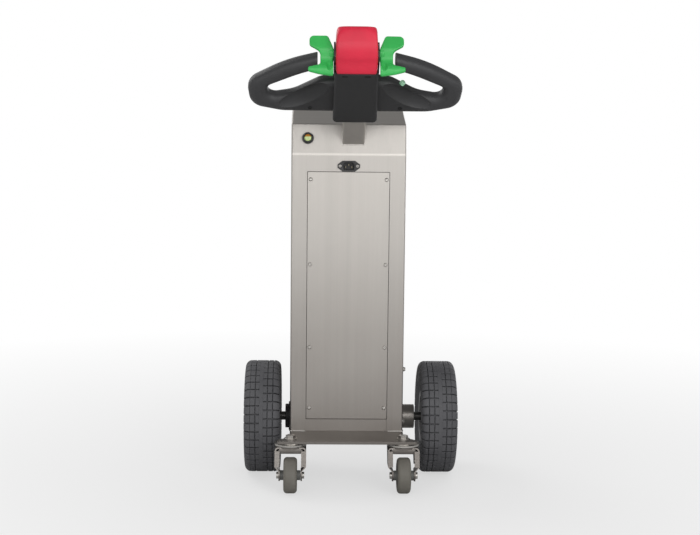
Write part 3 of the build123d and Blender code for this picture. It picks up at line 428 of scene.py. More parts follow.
def turned(name, profile, steps, ring=False):
    """A profile of (radius, height, flats) rows turned about Z. Rows with flats are that many-sided."""
    bm = bmesh.new()
    rings = []
    for radius, height, *flats in profile:
        if radius == 0:
            rings.append([bm.verts.new((0, 0, height * MM))] * steps)
            continue
        points = []
        for k in range(steps):
            angle = math.tau * k / steps
            reach = radius * MM
            if flats:
                sector = math.tau / flats[0]
                reach *= math.cos(sector / 2) / math.cos(angle % sector - sector / 2)
            points.append(bm.verts.new((reach * math.cos(angle), reach * math.sin(angle), height * MM)))
        rings.append(points)
    skin_rings(bm, rings, round_end=ring)
    return finished(bm, name)


TABLET_STEPS = 32


def tablet(name, length, width, height, edge):
    """A stadium-shaped plate along X with a rounded top edge."""
    bm = bmesh.new()
    straight = (length - width) / 2
    rings = []
    for inset, level in ((0.0, 0.0), (0.0, height - edge), (0.3 * edge, height - 0.3 * edge), (edge, height)):
        radius = width / 2 - inset
        ring = []
        for k in range(TABLET_STEPS):
            angle = math.tau * (k + 0.5) / TABLET_STEPS
            across = math.copysign(straight, math.cos(angle)) + radius * math.cos(angle)
            ring.append(bm.verts.new((across * MM, radius * math.sin(angle) * MM, level * MM)))
        rings.append(ring)
    skin_rings(bm, rings, caps=True)
    return finished(bm, name)


def joined(name, meshes):
    """Several finished meshes as one, with their materials."""
    whole = bmesh.new()
    result = bpy.data.meshes.new(name)
    for mesh in meshes:
        offset = len(result.materials)
        for material in mesh.materials:
            result.materials.append(material)
        part = bmesh.new()
        part.from_mesh(mesh)
        for face in part.faces:
            face.material_index += offset
        part.to_mesh(mesh)
        part.free()
        whole.from_mesh(mesh)
        bpy.data.meshes.remove(mesh)
    whole.to_mesh(result)
    whole.free()
    return result


def painted(mesh, material):
    mesh.materials.clear()
    mesh.materials.append(material)
    return mesh


def piece(name, mesh, slot, body="chassis", stands_for=()):
    """Put a finished mesh on the tug: it takes a slot's finish, rides a body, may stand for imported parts."""
    if not mesh.materials:
        mesh.materials.append(FINISHES[slot])
    obj = bpy.data.objects.new(name, mesh)
    bpy.context.collection.objects.link(obj)
    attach(obj, body)
    if stands_for:
        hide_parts(*stands_for)


def merged(node):
    """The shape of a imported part, its loose triangles joined up."""
    bm = bmesh.new()
    bm.from_mesh(frame["nodes"][node].data)
    bmesh.ops.remove_doubles(bm, verts=bm.verts, dist=MERGE)
    return bm


def softened(node, edge):
    """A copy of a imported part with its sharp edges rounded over, standing for it."""
    bm = merged(node)
    bmesh.ops.dissolve_limit(bm, angle_limit=math.radians(SOFT_FLAT), verts=bm.verts, edges=bm.edges)
    corner = math.radians(SOFT_CORNER)
    sharp = [e for e in bm.edges if len(e.link_faces) == 2 and e.calc_face_angle() > corner]
    bmesh.ops.bevel(
        bm, geom=sharp, offset=edge * MM, offset_type="OFFSET", segments=SOFT_STEPS, profile=0.5,
        affect="EDGES", clamp_overlap=True,
    )
    mesh = finished(bm, f"{node}_soft", crease=SOFT_CREASE)
    body = frame["nodes"][node]["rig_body"]
    piece(f"{node}_soft", mesh, NODE_SLOT[node], body, (node,))


def shape_holder(mesh):
    """A loose object that holds a shape for a while."""
    holder = bpy.data.objects.new(mesh.name, mesh)
    bpy.context.collection.objects.link(holder)
    return holder


def taken_from(holder):
    """The plain mesh that a holder's modifiers make. The holder is taken away."""
    evaluated = holder.evaluated_get(bpy.context.evaluated_depsgraph_get())
    mesh = bpy.data.meshes.new_from_object(evaluated)
    holder.modifiers.clear()
    bpy.data.objects.remove(holder)
    return mesh


def remeshed(node, voxel, rounds):
    """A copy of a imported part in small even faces, relaxed over some rounds, which rounds its edges."""
    source = bpy.data.meshes.new(node)
    bm = merged(node)
    bm.to_mesh(source)
    bm.free()
    holder = shape_holder(source)
    remesh = holder.modifiers.new("remesh", "REMESH")
    remesh.mode = "VOXEL"
    remesh.voxel_size = voxel * MM
    relax = holder.modifiers.new("relax", "SMOOTH")
    relax.factor = 0.5
    relax.iterations = rounds
    mesh = taken_from(holder)
    mesh.shade_smooth()
    return mesh


# Jigs: Geometry Nodes for what repeats or follows a line


class Jig(Wiring):
    """A Geometry Nodes tree with named inputs, which makes a plain mesh."""

    def __init__(self, name, inputs):
        super().__init__(bpy.data.node_groups.new(name, "GeometryNodeTree"))
        sockets = self.tree.interface
        sockets.new_socket("Geometry", in_out="INPUT", socket_type="NodeSocketGeometry")
        self.key = {}
        for label, kind in inputs.items():
            self.key[label] = sockets.new_socket(label, in_out="INPUT", socket_type=kind).identifier
        sockets.new_socket("Geometry", in_out="OUTPUT", socket_type="NodeSocketGeometry")
        self.given = self.node("NodeGroupInput").outputs

    def index(self):
        return self.node("GeometryNodeInputIndex").outputs["Index"]

    def shape(self, label):
        """The shape of the object given under a label."""
        return self.node("GeometryNodeObjectInfo", {"Object": self.given[label]}).outputs["Geometry"]

    def turn(self, angle):
        """A turn about Z."""
        links = {"Axis": (0.0, 0.0, 1.0), "Angle": angle}
        return self.node("FunctionNodeAxisAngleToRotation", links).outputs["Rotation"]

    def ends_in(self, shapes):
        """Close the tree: real geometry in the given material."""
        real = self.node("GeometryNodeRealizeInstances", {"Geometry": shapes}).outputs["Geometry"]
        links = {"Geometry": real, "Material": self.given["Material"]}
        coloured = self.node("GeometryNodeSetMaterial", links).outputs["Geometry"]
        self.node("NodeGroupOutput", {"Geometry": coloured})

    def make(self, start, **values):
        """The mesh that the tree makes from a starting mesh."""
        holder = shape_holder(start)
        modifier = holder.modifiers.new("jig", "NODES")
        modifier.node_group = self.tree
        for label, value in values.items():
            modifier[self.key[label]] = value
        return taken_from(holder)


def ring_jig():
    """Copies of a shape evenly round the Z axis."""
    jig = Jig("round_the_axle", {
        "Shape": "NodeSocketObject", "Count": "NodeSocketInt", "Phase": "NodeSocketFloat",
        "Material": "NodeSocketMaterial",
    })
    pitch = jig.reckon("DIVIDE", math.tau, jig.given["Count"])
    copies = jig.node("GeometryNodeInstanceOnPoints", {
        "Points": jig.node("GeometryNodePoints", {"Count": jig.given["Count"]}).outputs["Points"],
        "Instance": jig.shape("Shape"),
        "Rotation": jig.turn(jig.reckon("MULTIPLY_ADD", jig.index(), pitch, jig.given["Phase"])),
    })
    jig.ends_in(copies.outputs["Instances"])
    return jig


def seat_jig():
    """Heads seated on points, each facing its own way and turned on from the one before."""
    jig = Jig("seated_heads", {
        "Head": "NodeSocketObject", "Turn": "NodeSocketFloat", "Material": "NodeSocketMaterial",
    })
    way = jig.node("GeometryNodeInputNamedAttribute", {"Name": "way"}, data_type="FLOAT_VECTOR")
    faced = jig.node("FunctionNodeAlignRotationToVector", {"Vector": way.outputs["Attribute"]}, axis="Z")
    faced_and_turned = jig.node("FunctionNodeRotateRotation", {
        "Rotation": faced.outputs["Rotation"],
        "Rotate By": jig.turn(jig.reckon("MULTIPLY", jig.index(), jig.given["Turn"])),
    }, rotation_space="LOCAL")
    heads = jig.node("GeometryNodeInstanceOnPoints", {
        "Points": jig.given["Geometry"],
        "Instance": jig.shape("Head"),
        "Rotation": faced_and_turned.outputs["Rotation"],
    })
    jig.ends_in(heads.outputs["Instances"])
    return jig


BEAD_SIDES = 8
BEAD_STEP = 1.0
BEAD_RIPPLE = 0.16
# how far each step goes round the ripple's wave: three steps make one ripple
BEAD_WAVE = math.tau / 3


def bead_jig():
    """A rippled bead along a line."""
    jig = Jig("weld_bead", {
        "Radius": "NodeSocketFloat", "Step": "NodeSocketFloat", "Ripple": "NodeSocketFloat",
        "Material": "NodeSocketMaterial",
    })
    curve = jig.node("GeometryNodeMeshToCurve", {"Mesh": jig.given["Geometry"]}).outputs["Curve"]
    links = {"Curve": curve, "Length": jig.given["Step"]}
    line = jig.node("GeometryNodeResampleCurve", links, mode="LENGTH").outputs["Curve"]
    wave = jig.reckon("SINE", jig.reckon("MULTIPLY", jig.index(), BEAD_WAVE))
    links = {"Resolution": BEAD_SIDES, "Radius": jig.given["Radius"]}
    section = jig.node("GeometryNodeCurvePrimitiveCircle", links, mode="RADIUS").outputs["Curve"]
    skin = jig.node("GeometryNodeCurveToMesh", {
        "Curve": line,
        "Profile Curve": section,
        "Scale": jig.reckon("MULTIPLY_ADD", wave, jig.given["Ripple"], 1.0),
        "Fill Caps": True,
    }).outputs["Mesh"]
    jig.ends_in(jig.node("GeometryNodeSetShadeSmooth", {"Geometry": skin}).outputs["Geometry"])
    return jig


RING_JIG, SEAT_JIG, BEAD_JIG = ring_jig(), seat_jig(), bead_jig()
# screws stop at any angle: how far each is turned on from the one before, in radians
HAND_TURN = 2.4


def round_the_axle(shape, count, phase, material):
    """One mesh of a shape copied round the Z axis."""
    holder = shape_holder(shape)
    start = bpy.data.meshes.new("axle")
    mesh = RING_JIG.make(start, Shape=holder, Count=count, Phase=phase, Material=material)
    bpy.data.objects.remove(holder)
    return mesh


def seated(head, seats, material, turn=HAND_TURN):
    """One mesh of heads, on (place, way) seats in millimetres, each turned on from the one before."""
    holder = shape_holder(head)
    start = bpy.data.meshes.new("seats")
    start.from_pydata([tuple(Vector(place) * MM) for place, way in seats], [], [])
    ways = start.attributes.new("way", "FLOAT_VECTOR", "POINT")
    for row, (place, way) in zip(ways.data, seats):
        row.vector = way
    mesh = SEAT_JIG.make(start, Head=holder, Turn=turn, Material=material)
    bpy.data.objects.remove(holder)
    return mesh


def bead(points, radius, around=False):
    """A weld bead along points in millimetres."""
    line = bpy.data.meshes.new("bead_line")
    links = [(k, k + 1) for k in range(len(points) - 1)] + ([(len(points) - 1, 0)] if around else [])
    line.from_pydata([tuple(Vector(point) * MM) for point in points], links, [])
    return BEAD_JIG.make(line, Radius=radius * MM, Step=BEAD_STEP * MM, Ripple=BEAD_RIPPLE, Material=WELD)


# Drive tyres: a moulded carcass, and two rows of sipped blocks beside a plain rib

TYRE_RADIUS = (TYRE_HIGH.z - TYRE_LOW.z) / 2
TYRE_HALF = (TYRE_HIGH.x - TYRE_LOW.x) / 2
TYRE_SHOULDER = 14.0
SHOULDER_STEPS = 6
TREAD_FLAT = TYRE_HALF - TYRE_SHOULDER
TREAD_DEPTH = 4.5
TREAD_PITCHES = 41
SIPE = 2.8
BLOCK_EDGE = 0.7
BLOCK_ROOT = 6.0
BLOCK_CREASE = 25.0
# where the outer blocks end on the wall: radius, and how far in from the tyre's full width
LUG_END, LUG_INSET = 107.0, 0.4
# distances from the middle of the tyre: the plain rib's edges, and where each row of blocks starts and stops
RIB_OUT, RIB_IN = 6.0, 3.0
OUTER_ROWS = ((RIB_OUT, 14.3), (15.7, 26.6), (28.0, TYRE_HALF))
INNER_ROWS = ((RIB_IN, 11.8), (13.2, 24.0), (25.4, TYRE_HALF))
# half of the carcass from the bore to the tread: radius, distance from the middle
CARCASS_SIDE = (
    (52.0, 31.0), (64.4, 31.0), (65.6, 31.8), (70.0, 34.4), (76.0, 37.0), (81.5, 38.6), (84.4, 40.4),
    (86.0, 40.9), (87.8, 40.6), (89.0, 39.6), (93.0, 39.8), (96.2, 40.0), (96.7, 40.6), (97.7, 40.6),
    (98.2, 40.0), (100.2, 40.0), (100.7, 40.6), (101.7, 40.6), (102.2, 40.0), (106.0, 39.9), (110.0, 39.0),
    (114.5, 37.4), (119.4, 34.4), (122.8, 30.9), (124.8, 26.5), (TYRE_RADIUS - TREAD_DEPTH, 15.0),
)


def tread_line(start, stop):
    """Points across one row of blocks: distance from the middle, radius, and which way is out there."""
    flat = [place for place in (start, min(stop, TREAD_FLAT)) if place <= TREAD_FLAT]
    line = [(place, TYRE_RADIUS, 0.0, 1.0) for place in flat]
    if stop > TREAD_FLAT:
        first = math.asin(max(0.0, start - TREAD_FLAT) / TYRE_SHOULDER)
        for k in range(1 if line else 0, SHOULDER_STEPS + 1):
            lean = first + (math.pi / 2 - first) * k / SHOULDER_STEPS
            out, up = math.sin(lean), math.cos(lean)
            line.append((TREAD_FLAT + TYRE_SHOULDER * out, TYRE_RADIUS - TYRE_SHOULDER * (1 - up), out, up))
        line.append((TYRE_HALF - LUG_INSET, LUG_END, 1.0, 0.0))
    return line


def tread_block(rows, end):
    """One pitch of blocks about the Z axis, on the outer (1) or inner (-1) half of the tread."""
    bm = bmesh.new()
    half_turn = (math.pi * TYRE_RADIUS / TREAD_PITCHES - SIPE / 2) / TYRE_RADIUS
    inside = half_turn - BLOCK_EDGE / TYRE_RADIUS
    turns = (-half_turn, -inside, -half_turn / 3, half_turn / 3, inside, half_turn)
    for row, (start, stop) in enumerate(rows):
        line = tread_line(start, stop)
        root = [(place - out * BLOCK_ROOT, radius - up * BLOCK_ROOT) for place, radius, out, up in line]
        rings = []
        for turn in turns:
            low = BLOCK_EDGE if abs(turn) == half_turn else 0.0
            section = [(place - out * low, radius - up * low) for place, radius, out, up in line]
            if row > 0:
                place, radius = section[0]
                section[:1] = [(place, radius - BLOCK_EDGE), (place + BLOCK_EDGE, radius)]
            if stop < TYRE_HALF:
                place, radius = section[-1]
                section[-1:] = [(place - BLOCK_EDGE, radius), (place, radius - BLOCK_EDGE)]
            section += reversed(root)
            across, up = math.cos(turn) * MM, math.sin(turn) * MM
            rings.append([
                bm.verts.new((radius * across, radius * up, end * place * MM)) for place, radius in section
            ])
        skin_rings(bm, rings, caps=True)
    return finished(bm, "tread_block", crease=BLOCK_CREASE)


def drive_tyre(side_name, side):
    top = TYRE_RADIUS - BLOCK_EDGE / 2
    root = TYRE_RADIUS - TREAD_DEPTH
    rib = [
        (root, RIB_OUT), (top, RIB_OUT), (TYRE_RADIUS, RIB_OUT - BLOCK_EDGE / 2),
        (TYRE_RADIUS, BLOCK_EDGE / 2 - RIB_IN), (top, -RIB_IN), (root, -RIB_IN),
    ]
    inner_side = [(radius, -place) for radius, place in CARCASS_SIDE[::-1]]
    carcass = turned("carcass", [*CARCASS_SIDE, *rib, *inner_side], steps=4 * TREAD_PITCHES, ring=True)
    material = FINISHES["tyre"]
    pitch = math.tau / TREAD_PITCHES
    outer = round_the_axle(tread_block(OUTER_ROWS, 1), TREAD_PITCHES, 0.0, material)
    inner = round_the_axle(tread_block(INNER_ROWS, -1), TREAD_PITCHES, pitch / 2, material)
    mesh = joined("tyre", [painted(carcass, material), outer, inner])
    mesh.transform(facing(WHEEL_MIDDLE[side_name], RIGHT * side))
    piece(f"{side_name}_tread_tyre", mesh, "tyre", f"{side_name}_drive_wheel", (f"{side_name}_drive_tyre",))


# Valve in the dish of each drive wheel

VALVE_REACH = 40.0
VALVE_FOOT = 6.0
VALVE_STEM = ((0, 0), (5.2, 0), (5.2, 2.0), (4.0, 4.5), (3.6, 13.0), (3.2, 14.0), (0, 14.0))
VALVE_CAP = ((0, 14), (2.6, 14), (3.3, 14.6), (3.3, 21.0, 12), (2.6, 22.0, 12), (0, 22.0))


def valve(side_name, side):
    place = WHEEL_MIDDLE[side_name] + Vector((side * VALVE_FOOT, 0, VALVE_REACH))
    stem = painted(turned("valve_stem", VALVE_STEM, steps=24), FINISHES["tyre"])
    cap = painted(turned("valve_cap", VALVE_CAP, steps=24), FINISHES["contact_metal"])
    mesh = joined("valve", [stem, cap])
    mesh.transform(facing(place, RIGHT * side))
    piece(f"{side_name}_valve", mesh, "tyre", f"{side_name}_drive_wheel")


for side_name, side in SIDES.items():
    drive_tyre(side_name, side)
    valve(side_name, side)


# Screws and bolts

# button heads: radius, height
SHEET_SCREW = (4.4, 2.6)
# flat heads: radius
INLET_SCREW, WING_SCREW, HOUSING_SCREW = 3.3, 4.6, 3.8
# hexagon heads: width across the flats, height, radius of the washer
BRACKET_BOLT = (16.0, 7.0, 12.0)
FRAME_BOLT = (8.0, 4.0, 6.0)
SUMP_BOLT = (8.0, 2.6, 6.0)
HEAD_STEPS = 24


def button_head(radius, height):
    """A domed screw head with a hexagon socket."""
    profile = (
        (0, 0), (radius, 0), (radius, 0.22 * height), (0.93 * radius, 0.55 * height),
        (0.78 * radius, 0.82 * height), (0.6 * radius, 0.97 * height), (0.52 * radius, height),
        (0.48 * radius, 0.96 * height, 6), (0.46 * radius, 0.3 * height, 6), (0, 0.2 * height),
    )
    return turned("button_head", profile, steps=HEAD_STEPS)


def hex_head(across, height, washer):
    """A hexagon bolt head on a washer, with a domed crown."""
    corner = across / 2 / math.cos(math.pi / 6)
    sheet, edge = 1.4, 0.5
    profile = (
        (0, 0), (washer, 0), (washer, sheet - edge), (washer - edge, sheet), (corner, sheet, 6),
        (corner, 0.82 * height + sheet, 6), (0.93 * across / 2, height + sheet), (0, height + sheet),
    )
    return turned("hex_head", profile, steps=HEAD_STEPS)


def flat_head(radius):
    """A countersunk screw head in its cup, with a square socket."""
    profile = (
        (0, 0), (radius, 0), (radius, 0.35), (0.88 * radius, 0.6), (0.45 * radius, 0.6),
        (0.4 * radius, 0.5, 4), (0.3 * radius, -0.3, 4), (0, -0.6),
    )
    return turned("flat_head", profile, steps=HEAD_STEPS)


def grid_seats(columns, rows, y, way):
    """Seats on an upright face, one at each meeting of columns (x) and rows (z)."""
    return [(Vector((x, y, z)), way) for x in columns for z in rows]


BRIGHT = FINISHES["zinc_steel"]
COVER_SCREW_INSET = 6.6
COVER_SCREW_ROWS = (691.9, 499.7, 310.1, 170.1)
cover_columns = (COVER_LOW.x + COVER_SCREW_INSET, COVER_HIGH.x - COVER_SCREW_INSET)
PANEL_SCREW_INSET = 8.0
PANEL_SCREW_GAPS = 3
panel_columns = (FRONT_LOW.x + PANEL_SCREW_INSET, FRONT_HIGH.x - PANEL_SCREW_INSET)
panel_step = (FRONT_HIGH.z - FRONT_LOW.z - 2 * PANEL_SCREW_INSET) / PANEL_SCREW_GAPS
panel_rows = [FRONT_LOW.z + PANEL_SCREW_INSET + row * panel_step for row in range(PANEL_SCREW_GAPS + 1)]
sheet_seats = grid_seats(cover_columns, COVER_SCREW_ROWS, REAR_Y, BACK)
sheet_seats += grid_seats(panel_columns, panel_rows, FRONT_HIGH.y, AHEAD)
piece("sheet_screws", seated(button_head(*SHEET_SCREW), sheet_seats, BRIGHT), "zinc_steel")

INLET_SCREW_OUT = 19.6
inlet_columns = [COLUMN_X + side * INLET_SCREW_OUT for side in SIDES.values()]
inlet_row = middle_of("charging_inlet").z
inlet_seats = grid_seats(inlet_columns, [inlet_row], BOX["charging_inlet"][0].y, BACK)
inlet_screws = seated(flat_head(INLET_SCREW), inlet_seats, FINISHES["stainless_plate"])
piece("inlet_screws", inlet_screws, "stainless_plate")

BRACKET_BOLT_INSET = 20.0
bracket_columns = (BRACKET_LOW.x + BRACKET_BOLT_INSET, BRACKET_HIGH.x - BRACKET_BOLT_INSET)
bracket_rows = (BRACKET_LOW.z + BRACKET_BOLT_INSET, BRACKET_HIGH.z - BRACKET_BOLT_INSET)
bracket_seats = grid_seats(bracket_columns, bracket_rows, BRACKET_Y, AHEAD)
piece("bracket_bolts", seated(hex_head(*BRACKET_BOLT), bracket_seats, BRIGHT), "zinc_steel")

FRAME_BOLT_Y = REAR_Y + 14.0
FRAME_BOLT_ROWS = (258.0, 137.0)
frame_seats = grid_seats([SHELL_HIGH.x], FRAME_BOLT_ROWS, FRAME_BOLT_Y, RIGHT)
piece("frame_bolts", seated(hex_head(*FRAME_BOLT), frame_seats, BRIGHT), "zinc_steel")

WASHER = ((9.6, 0), (14.5, 0), (14.5, 1.3), (13.9, 1.8), (9.6, 1.8))
washer_seats = [(Vector((middle.x, middle.y, PLATE_HIGH.z)), UP) for middle in CASTOR_MIDDLE.values()]
washer = turned("washer", WASHER, steps=32, ring=True)
piece("castor_washers", seated(washer, washer_seats, BRIGHT), "zinc_steel")

WING_SCREW_OUT, WING_SCREW_ALONG = 97.8, 112.0
wing_seats = [
    (on_tiller(side * WING_SCREW_OUT, WING_SCREW_ALONG, WING_UNDER), UNDER) for side in SIDES.values()
]
# the wing screws are near-black: painted shade of their recesses
piece("wing_screws", seated(flat_head(WING_SCREW), wing_seats, SHADE_BLACK), "tiller_plastic")


# Tiller head: two slots in the housing under the belly button, near-black tablets as their painted shade, and
# the screws on its upper side

# a slot's length, width, depth and rounding
SLOT = (13.0, 4.4, 0.5, 0.3)
SLOT_OUT, SLOT_ALONG = 24.0, 221.0
slot_seats = [(on_tiller(side * SLOT_OUT, SLOT_ALONG, HEAD_UNDER), UNDER) for side in SIDES.values()]
slots = seated(tablet("slot", *SLOT), slot_seats, SHADE_BLACK, turn=0.0)
piece("housing_slots", slots, "tiller_plastic")

HOUSING_SCREW_OUT, HOUSING_SCREW_ROWS = 30.0, (104.0, 200.0)
housing_seats = [
    (on_tiller(side * HOUSING_SCREW_OUT, along, -HEAD_OVER), -UNDER)
    for side in SIDES.values() for along in HOUSING_SCREW_ROWS
]
piece("housing_screws", seated(flat_head(HOUSING_SCREW), housing_seats, FINISHES["dark_steel"]), "dark_steel")


# Drive paddles: finely meshed copies with the flow of real mouldings

PADDLE_LEAN = math.radians(21.7)
PADDLE_NORMAL = ALONG * math.cos(PADDLE_LEAN) + UNDER * math.sin(PADDLE_LEAN)
PADDLE_RISE = ALONG * math.sin(PADDLE_LEAN) - UNDER * math.cos(PADDLE_LEAN)
PADDLE_BOSS_ALONG, PADDLE_HALF_SHEET = 253.0, 5.0
PADDLE_MIDDLE = on_tiller(0, PADDLE_BOSS_ALONG, 0) + PADDLE_NORMAL * PADDLE_HALF_SHEET
PADDLE_INNER = 49.0
PADDLE_VOXEL, PADDLE_ROUNDS = 0.9, 4
# the thumb's hollow: height on the paddle, how far its face stands out there, from the tab's top downwards
PADDLE_FLOW = ((42.0, -3.5), (13.0, 0.0), (-14.0, -9.0), (-35.0, 0.5), (-52.0, -5.0))
# a dent beside the inner rim: distance from that rim, height, half width, half height, depth
DENT = (9.0, -30.0, 7.0, 13.0, 5.0)


def paddle_shift(inward, height):
    """How far the paddle's face stands out, at a distance from its inner rim and a height."""
    shift = PADDLE_FLOW[-1][1]
    for (top, above), (bottom, below) in zip(PADDLE_FLOW, PADDLE_FLOW[1:]):
        if height > bottom:
            share = (1 - math.cos(math.pi * min(1.0, (top - height) / (top - bottom)))) / 2
            shift = above + (below - above) * max(0.0, share)
            break
    beside, level, half, tall, depth = DENT
    reach = ((inward - beside) / half) ** 2 + ((height - level) / tall) ** 2
    return shift - depth * max(0.0, 1 - reach) ** 2


def paddle(side_name, side):
    mesh = remeshed(f"{side_name}_paddle", PADDLE_VOXEL, PADDLE_ROUNDS)
    for vertex in mesh.vertices:
        place = vertex.co / MM
        height = (place - PADDLE_MIDDLE).dot(PADDLE_RISE)
        vertex.co += PADDLE_NORMAL * paddle_shift(side * place.x - PADDLE_INNER, height) * MM
    piece(f"{side_name}_paddle_moulded", mesh, "green_plastic", stands_for=(f"{side_name}_paddle",))


for side_name, side in SIDES.items():
    paddle(side_name, side)


# Belly button: a finely meshed copy, well rounded, with its underside tucked in round the heel

BUTTON_VOXEL, BUTTON_ROUNDS = 1.2, 90
BUTTON_START, BUTTON_HEEL, BUTTON_NOSE = 228.0, 261.0, 305.0
BUTTON_UNDER = 33.0
HEEL_TUCK = 11.0


def fill_box(mesh, low, high):
    """Stretch a mesh to fill a box, in metres."""
    ends = [[end(vertex.co[axis] for vertex in mesh.vertices) for end in (min, max)] for axis in range(3)]
    for vertex in mesh.vertices:
        for axis, (first, last) in enumerate(ends):
            share = (vertex.co[axis] - first) / (last - first)
            vertex.co[axis] = low[axis] + share * (high[axis] - low[axis])


def belly_button():
    mesh = remeshed("belly_button", BUTTON_VOXEL, BUTTON_ROUNDS)
    for vertex in mesh.vertices:
        place = vertex.co / MM - TILLER_ROOT
        along, under = place.dot(ALONG), place.dot(UNDER)
        run = BUTTON_HEEL - BUTTON_START if along < BUTTON_HEEL else BUTTON_NOSE - BUTTON_HEEL
        near = math.cos(math.pi / 2 * min(1.0, abs(along - BUTTON_HEEL) / run)) ** 2
        vertex.co -= UNDER * HEEL_TUCK * near * min(1.0, max(0.0, under / BUTTON_UNDER)) * MM
    fill_box(mesh, *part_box("belly_button"))
    piece("belly_button_moulded", mesh, "red_plastic", stands_for=("belly_button",))


belly_button()


# Tiller head: a copy whose thin cheeks beside the belly button stop just past the paddles' bosses

CHEEK_TOP = 268.0


def tiller_head():
    bm = merged("tiller_head")
    bmesh.ops.bisect_plane(
        bm, geom=[*bm.verts, *bm.edges, *bm.faces], plane_co=on_tiller(0, CHEEK_TOP, 0) * MM, plane_no=ALONG,
        clear_outer=True,
    )
    bmesh.ops.holes_fill(bm, edges=[edge for edge in bm.edges if edge.is_boundary], sides=0)
    holder = shape_holder(finished(bm, "tiller_head_trimmed"))
    holder.modifiers.new("even_shading", "WEIGHTED_NORMAL").keep_sharp = True
    piece("tiller_head_trimmed", taken_from(holder), "tiller_plastic", stands_for=("tiller_head",))


tiller_head()


# Key switch: a domed lens, amber at the top and pale green below, in a raised ring

KEY_X, KEY_UP, KEY_BEZEL = -102.0, 36.0, 7.0
LENS_DOME = ((0, 0), (8.0, 0), (8.0, 1.0), (7.4, 2.0), (6.0, 2.6), (4.0, 2.9), (2.0, 3.0), (0, 3.0))
AMBER_LEVEL = 2.6
BEZEL_RING = ((8.1, 0), (12.4, 0), (12.4, 1.6), (11.8, 3.4), (10.8, 4.3), (9.4, 4.3), (8.6, 3.4), (8.1, 2.0))
key_seat = facing(on_panel(KEY_X, KEY_UP, KEY_BEZEL), PANEL_OUT)
lens_dome = turned("lens", LENS_DOME, steps=36)
lens_dome.materials.append(FINISHES["lens"])
lens_dome.materials.append(AMBER)
for face in lens_dome.polygons:
    face.material_index = int(face.center.y > AMBER_LEVEL * MM)
lens_dome.transform(key_seat)
piece("key_lens_dome", lens_dome, "lens", stands_for=("key_lens",))
bezel_ring = turned("bezel_ring", BEZEL_RING, steps=48, ring=True)
bezel_ring.transform(key_seat)
piece("key_bezel_ring", bezel_ring, "inlet_plastic")


# Rounded-over copies of sheet, plate and cast parts

SOFT_EDGES = {
    "base_plate": 0.9, "tow_bracket": 1.2, "service_cover": 0.5, "front_panel": 0.6, "charging_inlet": 0.6,
    "left_axle_tube": 1.2, "right_axle_tube": 1.2,
}
for node, edge in SOFT_EDGES.items():
    softened(node, edge)


# Castor forks: a lip that hangs from the crown's rear edge, over the wheel

SKIRT_LENGTH, SKIRT_DEPTH, SKIRT_SHEET, SKIRT_EDGE = 54.0, 11.6, 3.0, 0.8
CROWN_HALF, CROWN_UNDER = 26.0, 98.6
for side_name, middle in CASTOR_MIDDLE.items():
    skirt = tablet("skirt", SKIRT_LENGTH, SKIRT_DEPTH, SKIRT_SHEET, SKIRT_EDGE)
    rear_edge = middle.y - CROWN_HALF + SKIRT_SHEET
    skirt.transform(facing((middle.x, rear_edge, CROWN_UNDER - SKIRT_DEPTH / 2), BACK))
    piece(f"{side_name}_castor_skirt", skirt, "stainless_plate", f"{side_name}_castor_swivel")


# Drive unit: cooling ribs on its faces, and a bolted cover underneath

# a rib's length, width, height and rounding
RIB = (24.0, 5.0, 3.4, 1.4)
RIB_Z, RIB_STEP, RIBS_EACH_SIDE = 101.0, 17.0, 5
UPRIGHT = Matrix.Rotation(math.pi / 2, 4, "Z")
rib = tablet("rib", *RIB)
rib.transform(UPRIGHT)
rib_columns = [DRIVE_MIDDLE.x + k * RIB_STEP for k in range(-RIBS_EACH_SIDE, RIBS_EACH_SIDE + 1)]
rib_seats = grid_seats(rib_columns, [RIB_Z], DRIVE_LOW.y, BACK)
rib_seats += grid_seats(rib_columns, [RIB_Z], DRIVE_HIGH.y, AHEAD)
piece("drive_ribs", seated(rib, rib_seats, FINISHES["drive_casting"], turn=0.0), "drive_casting")

SUMP_LENGTH, SUMP_WIDTH, SUMP_PROUD, SUMP_EDGE = 168.0, 86.0, 2.0, 0.8
sump = tablet("sump_cover", SUMP_LENGTH, SUMP_WIDTH, SUMP_PROUD, SUMP_EDGE)
sump.transform(facing((DRIVE_MIDDLE.x, DRIVE_MIDDLE.y, DRIVE_LOW.z), -UP))
piece("sump_cover", sump, "drive_casting")
# the cover's bolts, from its middle: two rows of three along its sides, and one at each end
SUMP_BOLT_STEP, SUMP_BOLT_SIDE, SUMP_BOLT_END = 44.0, 34.0, 74.0
sump_places = [
    (k * SUMP_BOLT_STEP, side * SUMP_BOLT_SIDE) for k in (-1, 0, 1) for side in SIDES.values()
]
sump_places += [(side * SUMP_BOLT_END, 0.0) for side in SIDES.values()]
sump_seats = [
    (Vector((DRIVE_MIDDLE.x + across, DRIVE_MIDDLE.y + ahead, DRIVE_LOW.z - SUMP_PROUD)), -UP)
    for across, ahead in sump_places
]
piece("sump_bolts", seated(hex_head(*SUMP_BOLT), sump_seats, BRIGHT), "zinc_steel")


# Flanges where the axle tubes leave the column

FLANGE = ((28.1, 0), (34.0, 0), (34.0, 3.0), (33.0, 4.0), (28.1, 4.0))
for side_name, face_x in (("left", SHELL_LOW.x), ("right", SHELL_HIGH.x)):
    middle = WHEEL_MIDDLE[side_name]
    flange = turned("axle_flange", FLANGE, steps=64, ring=True)
    flange.transform(facing((face_x, middle.y, middle.z), RIGHT * SIDES[side_name]))
    piece(f"{side_name}_axle_flange", flange, NODE_SLOT[f"{side_name}_axle_tube"])


# Welds of the column: the stem's foot on the panel, and the column on its base plate

